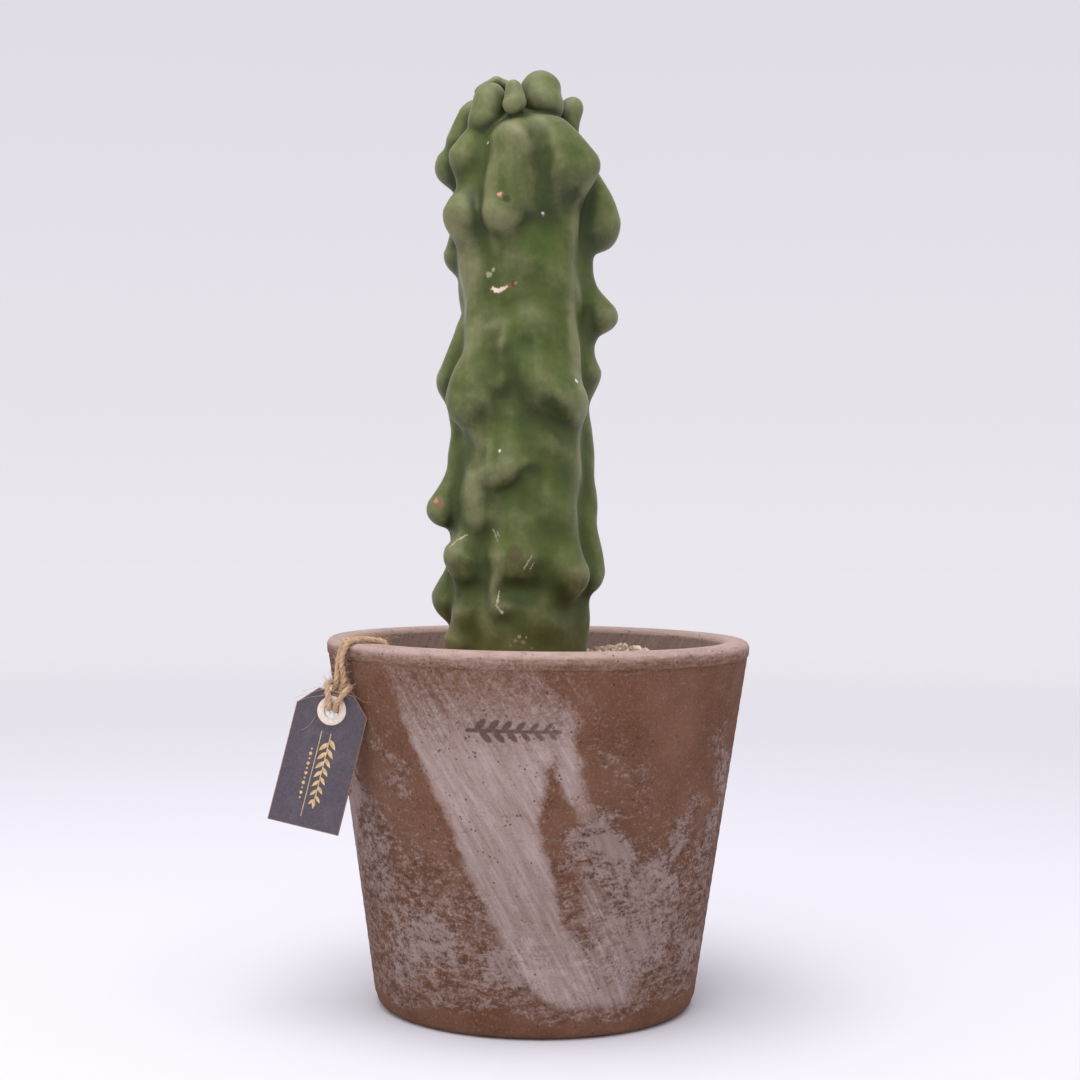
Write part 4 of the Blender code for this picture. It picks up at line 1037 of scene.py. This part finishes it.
# Where grey powder still lies thick on the skin, and where it has worn off to fresh green.
POWDERED = [
    (-8, 384, 18, 16, 0.35), (-26, 362, 9, 34, 0.5), (-12, 346, 18, 7, 0.45), (10, 372, 10, 26, 0.35),
    (52, 350, 10, 18, 0.5), (-52, 330, 18, 24, 0.7), (-66, 320, 14, 30, 0.55), (-8, 330, 20, 8, 0.3),
    (60, 330, 10, 30, 0.45), (48, 290, 10, 40, 0.7), (-30, 306, 18, 10, 0.45), (-44, 298, 20, 10, 0.5),
    (-36, 236, 12, 30, 0.55), (-20, 206, 9, 34, 0.45), (-52, 208, 8, 8, 0.6), (-24, 256, 6, 18, 0.4),
    (-28, 176, 12, 20, 0.4), (-60, 170, 14, 22, 0.3), (56, 240, 10, 36, 0.4), (14, 398, 10, 10, 0.35),
    (0, 158, 34, 9, 0.4), (100, 300, 18, 60, 0.45), (-100, 280, 18, 60, 0.45), (168, 290, 14, 90, 0.5),
    (218, 250, 14, 90, 0.45), (120, 200, 14, 40, 0.45), (240, 340, 16, 40, 0.45),
]
FRESH = [
    (-10, 364, 9, 14, 0.7), (2, 352, 8, 6, 0.8), (38, 372, 12, 18, 0.8), (24, 350, 12, 16, 0.7),
    (10, 336, 24, 10, 0.7), (8, 296, 22, 14, 0.7), (24, 272, 20, 18, 0.6), (-46, 262, 12, 8, 0.9),
    (-8, 238, 12, 8, 1.0), (0, 228, 16, 10, 0.5), (-46, 200, 10, 8, 0.9), (2, 262, 14, 14, 0.4),
    (26, 226, 18, 26, 0.5), (44, 182, 14, 12, 0.6), (8, 180, 14, 16, 0.4), (-66, 214, 8, 10, 0.6),
    (-40, 342, 10, 10, 0.6), (-60, 372, 14, 14, 0.5), (70, 360, 14, 20, 0.5), (-10, 404, 16, 12, 0.9),
    (20, 402, 10, 10, 0.6), (145, 330, 16, 30, 0.7), (195, 300, 16, 40, 0.7), (145, 220, 16, 30, 0.6),
    (255, 240, 16, 40, 0.6),
]
skin_angles = np.degrees(np.arctan2(skin[:, 0] - STEM_X, -skin[:, 1]))
for label, spots in (("powder", POWDERED), ("fresh", FRESH)):
    store_values(skin_mesh, label, soft_spots(skin_angles, skin[:, 2] / MM, spots))

# Old areoles, scratches, corky tears and splashes of dirt: angle, height, radius in millimetres, colour.
MARKS = [
    (-11.0, 357.2, 2.2, "#323d18"), (-15.5, 359.0, 2.0, "#8f5f45"), (-16.2, 359.3, 1.2, "#cda588"),
    (-13.4, 358.6, 0.8, "#6b4230"), (19.0, 352.0, 1.3, "#5f6f74"), (18.6, 352.3, 0.9, "#c3d0d4"),
    (-36.0, 383.5, 1.0, "#9db0b4"), (-35.2, 383.3, 0.5, "#d0dadb"), (-27.5, 319.2, 1.7, "#704a32"),
    (-24.0, 318.3, 1.7, "#6b452e"), (-19.5, 318.6, 1.6, "#704a32"), (-15.5, 319.6, 1.5, "#7c543a"),
    (-11.5, 320.4, 1.4, "#7c543a"), (-27.0, 319.3, 1.1, "#e4d3bb"), (-24.5, 318.5, 1.4, "#efe3cf"),
    (-21.5, 318.4, 1.4, "#e8d9c2"), (-18.5, 318.8, 1.3, "#e8d9c2"), (-16.0, 319.4, 1.1, "#ddcab0"),
    (-13.5, 319.9, 0.9, "#d3bd9f"), (-7.0, 321.2, 1.7, "#5a3726"), (-5.0, 321.6, 1.1, "#9c6a4c"),
    (-31.0, 325.5, 1.6, "#9c9d80"), (-27.0, 327.5, 1.2, "#9c9d80"), (42.0, 279.0, 1.7, "#8f8a70"),
    (42.0, 279.0, 1.2, "#f0ebde"), (-72.0, 274.5, 1.3, "#e2dccb"), (-14.5, 248.0, 1.2, "#948d70"),
    (-14.5, 248.0, 0.8, "#ece4d0"), (-64.0, 225.0, 3.2, "#86654b"), (-66.0, 226.0, 1.4, "#b08a70"),
    (-3.0, 203.0, 5.0, "#524d28"), (-13.0, 177.5, 1.0, "#e6e1d2"), (58.0, 186.5, 1.5, "#4d3b27"),
    (60.0, 184.5, 0.8, "#7d6348"), (-2.0, 165.0, 1.1, "#8c7c5e"), (1.5, 167.0, 0.9, "#a3947a"),
    (4.5, 164.5, 1.2, "#8c7c5e"), (7.0, 166.5, 0.7, "#a3947a"), (-6.0, 163.0, 0.8, "#8c7c5e"),
    (12.0, 162.0, 1.0, "#7f7052"), (150.0, 300.0, 1.4, "#cdbfa6"), (198.0, 262.0, 1.2, "#cdbfa6"),
    (120.0, 330.0, 2.2, "#8a6a4e"), (225.0, 210.0, 1.6, "#86654b"), (-118.0, 250.0, 1.2, "#ded6c4"),
    (96.0, 233.0, 1.0, "#ded6c4"),
]
# Healed scratches, each from one angle and height to another, with its half width and colour.
SCRATCHES = [
    (-56, 205.0, -52, 208.5, 0.75, "#a9ab8c"), (-52, 208.5, -45, 211.0, 0.65, "#b4b59a"),
    (-22, 213.5, -17, 208.5, 0.6, "#9fa184"), (-18, 213.0, -16, 210.5, 0.5, "#a4a68a"),
    (9, 202.5, 4, 196.5, 0.6, "#a4a68a"), (11, 199.5, 8, 196.0, 0.5, "#9fa184"),
    (-16, 186.5, -17, 180.5, 0.6, "#b0b298"), (-17, 180.5, -12, 176.5, 0.6, "#b0b298"),
]
for start_angle, start_height, end_angle, end_height, half_width, colour in SCRATCHES:
    turned, risen = end_angle - start_angle, end_height - start_height
    run = math.hypot(math.radians(turned) * STEM_RADIUS / MM, risen)
    for share in np.linspace(0, 1, max(4, round(run / half_width))):
        radius = half_width * (1.1 - 0.4 * abs(2 * share - 1))
        MARKS.append((start_angle + share * turned, start_height + share * risen, radius, colour))


def on_skin(angle, height):
    """The point of the skin at that angle and height, found from outside inwards."""
    along = np.array([on_stem(angle, height * MM, reach) for reach in np.arange(0.056, 0.020, -0.0001)])
    return along[np.argmax(flesh(along) < 0)]


# Waxy living skin: dull mid green, with painted shade darkening the hollows and the noses' undersides, and
# greyed by powder that lies on the ridges and in the valleys. The ridges' paleness is partly powder and
# partly painted highlight.
green, tree, shader = new_material(
    "waxy_cactus_skin", Roughness=0.5, IOR=1.45, Sheen_Weight=0.28, Sheen_Roughness=0.3
)
shader.inputs["Specular IOR Level"].default_value = 0.35
shader.inputs["Sheen Tint"].default_value = linear("#d8dcc0")
place = add(tree, "ShaderNodeTexCoord").outputs["Object"]
ridge, hollow_shade, underside_shade, powder, fresh = (
    add(tree, "ShaderNodeAttribute", attribute_name=label).outputs["Fac"]
    for label in ("ridge", "hollow_shade", "underside_shade", "powder", "fresh")
)
clouds = add(
    tree, "ShaderNodeTexNoise", {"Vector": place, "Scale": 1 / (22.2 * MM), "Detail": 5.0, "Roughness": 0.6}
)
tall = add(tree, "ShaderNodeMapping", {"Vector": place, "Scale": (1.0, 1.0, 0.3)})
fibres = add(
    tree, "ShaderNodeTexNoise", {"Vector": tall, "Scale": 1 / (3.85 * MM), "Detail": 6.0, "Roughness": 0.65}
)
blotch = add(
    tree, "ShaderNodeTexNoise", {"Vector": place, "Scale": 1 / (5.26 * MM), "Detail": 8.0, "Roughness": 0.7}
)
share = add(tree, "ShaderNodeMapRange", {"Value": clouds, "From Min": 0.35, "From Max": 0.65})
base = add(
    tree, "ShaderNodeMix", {"Factor": share, "A": linear("#47541f"), "B": linear("#566129")}, data_type="RGBA"
)
green_edge = add(tree, "ShaderNodeMath", {0: blotch, 1: 0.5, 2: fresh}, operation="MULTIPLY_ADD")
# The powder mask: powder patches, blotches and fibre streaks, with the ridge height added so that ridges are
# painted paler, partly powder and partly painted highlight.
powder_and_ridge_highlight = add(tree, "ShaderNodeMath", {0: ridge, 1: 0.45, 2: powder}, operation="MULTIPLY_ADD")
powder_and_ridge_highlight = add(tree, "ShaderNodeMath", {0: blotch, 1: 0.5, 2: powder_and_ridge_highlight}, operation="MULTIPLY_ADD")
powder_and_ridge_highlight = add(tree, "ShaderNodeMath", {0: fibres, 1: 0.4, 2: powder_and_ridge_highlight}, operation="MULTIPLY_ADD")
low_down = add(tree, "ShaderNodeSeparateXYZ", {"Vector": place}).outputs["Z"]
# In turn: fresh patches, painted shade on the noses' undersides, painted shade in the hollows, the powder
# with the ridges painted paler as part powder and part painted highlight, and the woody foot.
for value, low, high, most, blend, tint in (
    (green_edge, 0.3, 1.1, 0.85, "LINEAR", "#3b4f13"), (underside_shade, -0.12, 0.5, 0.85, "LINEAR", "#2b3510"),
    (hollow_shade, 0.02, 0.45, 0.75, "LINEAR", "#262e0e"), (powder_and_ridge_highlight, 0.38, 1.38, 0.66, "SMOOTHSTEP", "#87865f"),
    (low_down, 0.185, 0.155, 0.5, "LINEAR", "#5f5632"),
):
    share = add(
        tree, "ShaderNodeMapRange", {"Value": value, "From Min": low, "From Max": high, "To Max": most},
        interpolation_type=blend,
    )
    base = add(
        tree, "ShaderNodeMix", {"Factor": share, "A": base.outputs[2], "B": linear(tint)}, data_type="RGBA"
    )
speck = add(
    tree, "ShaderNodeMapRange",
    {"Value": blotch, "From Min": 0.3, "From Max": 0.7, "To Min": 0.85, "To Max": 1.15},
)
base = add(tree, "ShaderNodeVectorMath", {0: base.outputs[2], "Scale": speck}, operation="SCALE").outputs[0]
ragged = add(tree, "ShaderNodeTexNoise", {"Vector": place, "Scale": 1 / (1.43 * MM), "Detail": 3.0})
ragged = add(
    tree, "ShaderNodeVectorMath", {0: ragged.outputs["Color"], 1: (0.5, 0.5, 0.5)}, operation="SUBTRACT"
)
ragged = add(tree, "ShaderNodeVectorMath", {0: ragged, 1: (0.0018,) * 3, 2: place}, operation="MULTIPLY_ADD")
for angle, height, radius, colour in MARKS:
    apart = add(tree, "ShaderNodeVectorMath", {0: ragged, 1: on_skin(angle, height)}, operation="DISTANCE")
    mark = add(
        tree, "ShaderNodeMapRange",
        {"Value": apart.outputs["Value"], "From Min": radius * MM, "From Max": radius * 0.55 * MM,
         "To Max": 0.9},
    )
    base = add(
        tree, "ShaderNodeMix", {"Factor": mark, "A": base, "B": linear(colour)}, data_type="RGBA"
    ).outputs[2]
tree.links.new(base, shader.inputs["Base Color"])
relief = add(tree, "ShaderNodeBump", {"Height": blotch, "Strength": 0.35, "Distance": 0.0006})
tree.links.new(relief.outputs[0], shader.inputs["Normal"])

cactus = new_object("cactus_stem", skin_mesh, green)
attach(cactus, "root")
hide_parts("cactus")


# ---- Tag ----
# A swing tag die-cut from 1.2 mm brown board with a slate-coloured printed face, a gold foil sprig and rules,
# and a cream paper ring stuck round its hole on each face.
TAG_HALF, TAG_TOP_HALF = 15.6 * MM, 7.85 * MM
TAG_SHOULDER, TAG_ABOVE, TAG_BELOW = 0.3 * MM, 8.3 * MM, 50.5 * MM
TAG_THICKNESS, TAG_HOLE_RADIUS, PATCH_RADIUS = 1.2 * MM, 3.2 * MM, 6.2 * MM
tag_place = Matrix.Translation(tag_hole) @ Matrix((tag_right, tag_up, tag_out)).transposed().to_4x4()

slate, tree, shader = new_material("slate_print", Roughness=0.62, IOR=1.5)
place = add(tree, "ShaderNodeTexCoord").outputs["Object"]
weave = add(tree, "ShaderNodeTexNoise", {"Vector": place, "Scale": 1 / (0.909 * MM), "Detail": 3.0})
wear = add(tree, "ShaderNodeTexNoise", {"Vector": place, "Scale": 1 / (7.69 * MM), "Detail": 5.0})
share = add(tree, "ShaderNodeMapRange", {"Value": weave, "From Min": 0.3, "From Max": 0.7})
ink = add(
    tree, "ShaderNodeMix", {"Factor": share, "A": linear("#463e47"), "B": linear("#574e56")}, data_type="RGBA"
)
share = add(tree, "ShaderNodeMapRange", {"Value": wear, "From Min": 0.55, "From Max": 0.8, "To Max": 0.4})
ink = add(
    tree, "ShaderNodeMix", {"Factor": share, "A": ink.outputs[2], "B": linear("#6d646c")}, data_type="RGBA"
)
tree.links.new(ink.outputs[2], shader.inputs["Base Color"])
relief = add(tree, "ShaderNodeBump", {"Height": weave, "Strength": 0.2, "Distance": 0.0001})
tree.links.new(relief.outputs[0], shader.inputs["Normal"])

board, tree, shader = new_material("brown_board", Roughness=0.9)
place = add(tree, "ShaderNodeTexCoord").outputs["Object"]
pulp = add(tree, "ShaderNodeTexNoise", {"Vector": place, "Scale": 1 / (0.667 * MM), "Detail": 4.0})
share = add(tree, "ShaderNodeMapRange", {"Value": pulp, "From Min": 0.35, "From Max": 0.65})
kraft = add(
    tree, "ShaderNodeMix", {"Factor": share, "A": linear("#8a5f48"), "B": linear("#b98f74")}, data_type="RGBA"
)
tree.links.new(kraft.outputs[2], shader.inputs["Base Color"])

outline = [
    (-TAG_HALF, -TAG_BELOW), (TAG_HALF, -TAG_BELOW), (TAG_HALF, TAG_SHOULDER),
    (TAG_TOP_HALF, TAG_ABOVE), (-TAG_TOP_HALF, TAG_ABOVE), (-TAG_HALF, TAG_SHOULDER),
]
shape = bmesh.new()
hole_turns = np.linspace(0, 2 * math.pi, 49)[:-1]
hole = [(TAG_HOLE_RADIUS * math.cos(t), TAG_HOLE_RADIUS * math.sin(t)) for t in hole_turns]
cut_edges = []
for loop in (outline, hole):
    corners = [shape.verts.new((x, y, -TAG_THICKNESS / 2)) for x, y in loop]
    cut_edges += [shape.edges.new((corners[i - 1], corners[i])) for i in range(len(corners))]
bmesh.ops.triangle_fill(shape, edges=cut_edges, use_beauty=True, normal=(0, 0, 1))
for steps, axis in ((12, (1, 0, 0)), (20, (0, 1, 0))):
    low, high = (-TAG_HALF, TAG_HALF) if axis[0] else (-TAG_BELOW, TAG_ABOVE)
    for share in np.linspace(low, high, steps)[1:-1]:
        everything = [*shape.verts, *shape.edges, *shape.faces]
        spot = [way * share for way in axis]
        bmesh.ops.bisect_plane(shape, geom=everything, dist=1e-6, plane_co=spot, plane_no=axis)


def raise_faces(shape, faces, height):
    """Closed walls and a top over flat faces."""
    raised = bmesh.ops.extrude_face_region(shape, geom=faces)["geom"]
    raised = [part for part in raised if isinstance(part, bmesh.types.BMVert)]
    bmesh.ops.translate(shape, verts=raised, vec=(0, 0, height))


raise_faces(shape, list(shape.faces), TAG_THICKNESS)
bmesh.ops.recalc_face_normals(shape, faces=shape.faces)
turned = [e for e in shape.edges if len(e.link_faces) == 2 and e.calc_face_angle() > 1.0]
turned = [e for e in turned if abs(e.verts[0].co.z - e.verts[1].co.z) < 1e-6]
bmesh.ops.bevel(shape, geom=turned, offset=0.32 * MM, segments=1, affect="EDGES")
for face in shape.faces:
    face.material_index = 0 if abs(face.normal.z) > 0.9 else 1


def bowed(x, y):
    """How far the card has bowed out of flat: its lower corners lift a little towards the front."""
    return 0.35 * MM * ((y + 20 * MM) / (30 * MM)) ** 2 + 0.25 * MM * (x / TAG_HALF) ** 2 - 0.15 * MM


for vert in shape.verts:
    vert.co.z += bowed(vert.co.x, vert.co.y)
mesh = bpy.data.meshes.new("swing_tag")
shape.to_mesh(mesh)
shape.free()
mesh.transform(tag_place)
tag = new_object("swing_tag", mesh, slate, board)

foil, tree, shader = new_material("gold_foil", Metallic=0.5, Roughness=0.5)
place = add(tree, "ShaderNodeTexCoord").outputs["Object"]
rub = add(tree, "ShaderNodeTexNoise", {"Vector": place, "Scale": 1 / (1.43 * MM), "Detail": 3.0})
share = add(tree, "ShaderNodeMapRange", {"Value": rub, "From Min": 0.35, "From Max": 0.7})
gilt = add(
    tree, "ShaderNodeMix", {"Factor": share, "A": linear("#c19f70"), "B": linear("#e6cba0")}, data_type="RGBA"
)
tree.links.new(gilt.outputs[2], shader.inputs["Base Color"])


def leaf_outline(x, y, angle, size, fatness):
    """A pointed leaf's outline, with its middle, its direction and its size given."""
    spine = np.linspace(-0.5, 0.5, 9)
    half = [(t, fatness * math.sin(math.pi * (t + 0.5)) * (0.85 - 0.4 * t)) for t in spine]
    points = half + [(t, -w) for t, w in half[-2:0:-1]]
    cos, sin = math.cos(angle), math.sin(angle)
    return [(x + size * (a * cos - b * sin), y + size * (a * sin + b * cos)) for a, b in points]


def bar_outline(x, y, length, width):
    return [(x, y - width / 2), (x + length, y - width / 2), (x + length, y + width / 2), (x, y + width / 2)]


# The print runs down the card: along is millimetres down from the hole, across is millimetres to the right.
# The foil is drawn thicker than it is, so that its edges catch the light.
FOIL_THICKNESS = 0.06 * MM
leaves = sprig_leaves(30.0, 7, 5.4, math.radians(40))
prints = [leaf_outline(x + 9.5, y + 2.1, angle, size, 0.20) for x, y, angle, size in leaves]
prints += [bar_outline(9.5, 2.1, 32.0, 0.4), bar_outline(9.2, -2.0, 37.0, 0.32)]
prints += [leaf_outline(17.5 + 2.1 * i, -4.4, 0.0, 1.7 if i % 2 else 1.0, 0.5) for i in range(11)]
shape = bmesh.new()
for outline in prints:
    top = shape.faces.new([shape.verts.new((across * MM, -along * MM, 0.0)) for along, across in outline])
    raise_faces(shape, [top], FOIL_THICKNESS)
bmesh.ops.recalc_face_normals(shape, faces=shape.faces)
for vert in shape.verts:
    vert.co.z += TAG_THICKNESS / 2 - 0.01 * MM + bowed(vert.co.x, vert.co.y)
mesh = bpy.data.meshes.new("tag_print")
shape.to_mesh(mesh)
shape.free()
mesh.transform(tag_place)
tag_print = new_object("tag_print", mesh, foil)

paper, tree, shader = new_material("cream_paper", Roughness=0.75)
place = add(tree, "ShaderNodeTexCoord").outputs["Object"]
felt = add(tree, "ShaderNodeTexNoise", {"Vector": place, "Scale": 1 / (1.11 * MM), "Detail": 4.0})
share = add(tree, "ShaderNodeMapRange", {"Value": felt, "From Min": 0.35, "From Max": 0.7})
cream = add(
    tree, "ShaderNodeMix", {"Factor": share, "A": linear("#e0d0bd"), "B": linear("#f0e4d6")}, data_type="RGBA"
)
tree.links.new(cream.outputs[2], shader.inputs["Base Color"])
relief = add(tree, "ShaderNodeBump", {"Height": felt, "Strength": 0.3, "Distance": 0.0001})
tree.links.new(relief.outputs[0], shader.inputs["Normal"])


def ring_mesh(name, inner, outer, low, high):
    """A flat ring with rounded edges, turned round the tag's hole."""
    edge = (high - low) * 0.3
    section = [(inner, low), (outer - edge, low), (outer, low + edge), (outer, high - edge),
               (outer - edge, high), (inner + edge, high), (inner, high - edge)]
    turns = np.linspace(0, 2 * math.pi, 65)[:-1]
    rows = np.array([[(r * math.cos(t), r * math.sin(t), z) for t in turns] for r, z in section])
    return grid_mesh(name, rows, True)


# From the card's middle: the glued side lies just inside the bowed card, the other stands proud of it.
GLUED, PROUD = 0.45 * MM, 0.98 * MM
patches = []
for name, low, high in (("ring_patch_front", GLUED, PROUD), ("ring_patch_back", -PROUD, -GLUED)):
    mesh = ring_mesh(name, TAG_HOLE_RADIUS * 0.98, PATCH_RADIUS, low, high)
    mesh.transform(tag_place)
    patches.append(new_object(name, mesh, paper))
for piece in (tag, tag_print, *patches):
    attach(piece, "root")
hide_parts("tag_card")
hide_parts("tag_patch_front")
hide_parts("tag_patch_back")


# ---- Floor and light ----
# A pale lilac-white paper sweep in soft daylight from a wide overhead lamp and the white room around it.
world = bpy.data.worlds.new("paper_room")
bpy.context.scene.world = world
world.use_nodes = True
tree = world.node_tree
direction = add(tree, "ShaderNodeTexCoord").outputs["Generated"]
level = add(tree, "ShaderNodeSeparateXYZ", {"Vector": direction}).outputs["Z"]
# Grey-lilac high up, paler towards the floor.
share = add(tree, "ShaderNodeMapRange", {"Value": level, "From Min": -0.05, "From Max": 0.25})
sky = add(
    tree, "ShaderNodeMix", {"Factor": share, "A": linear("#eae7ee"), "B": linear("#dfdce5")}, data_type="RGBA"
)
tree.links.new(sky.outputs[2], tree.nodes["Background"].inputs["Color"])
tree.nodes["Background"].inputs["Strength"].default_value = 1.0

sweep, tree, shader = new_material("paper_sweep", Roughness=0.9)
shader.inputs["Base Color"].default_value = linear("#e6e5ea")
place = add(tree, "ShaderNodeTexCoord").outputs["Object"]
far = add(tree, "ShaderNodeVectorMath", {0: place}, operation="LENGTH").outputs["Value"]
far = add(
    tree, "ShaderNodeMapRange",
    {"Value": far, "From Min": 0.35, "From Max": 2.2}, interpolation_type="SMOOTHSTEP",
)
glow = add(tree, "ShaderNodeEmission", {"Color": linear("#eae7ee"), "Strength": 1.0})
mixed = add(tree, "ShaderNodeMixShader", {"Fac": far, 1: shader.outputs[0], 2: glow.outputs[0]})
tree.links.new(mixed.outputs[0], tree.nodes["Material Output"].inputs["Surface"])
shape = bmesh.new()
bmesh.ops.create_circle(shape, cap_ends=True, radius=6.0, segments=96)
mesh = bpy.data.meshes.new("floor")
shape.to_mesh(mesh)
shape.free()
floor = new_object("floor", mesh, sweep)
floor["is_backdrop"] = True

LAMPS = (("overhead", (-0.15, -0.30, 1.6), 1.1, 15.5), ("window", (-0.6, -1.6, 0.9), 1.2, 4.0))
for name, spot, size, power in LAMPS:
    lamp = bpy.data.objects.new(name, bpy.data.lights.new(name, "AREA"))
    bpy.context.scene.collection.objects.link(lamp)
    lamp.data.size = size
    lamp.data.energy = power
    lamp.location = spot
    lamp.rotation_euler = (Vector((0, 0, 0.2)) - lamp.location).to_track_quat("-Z", "Y").to_euler()


low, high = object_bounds()
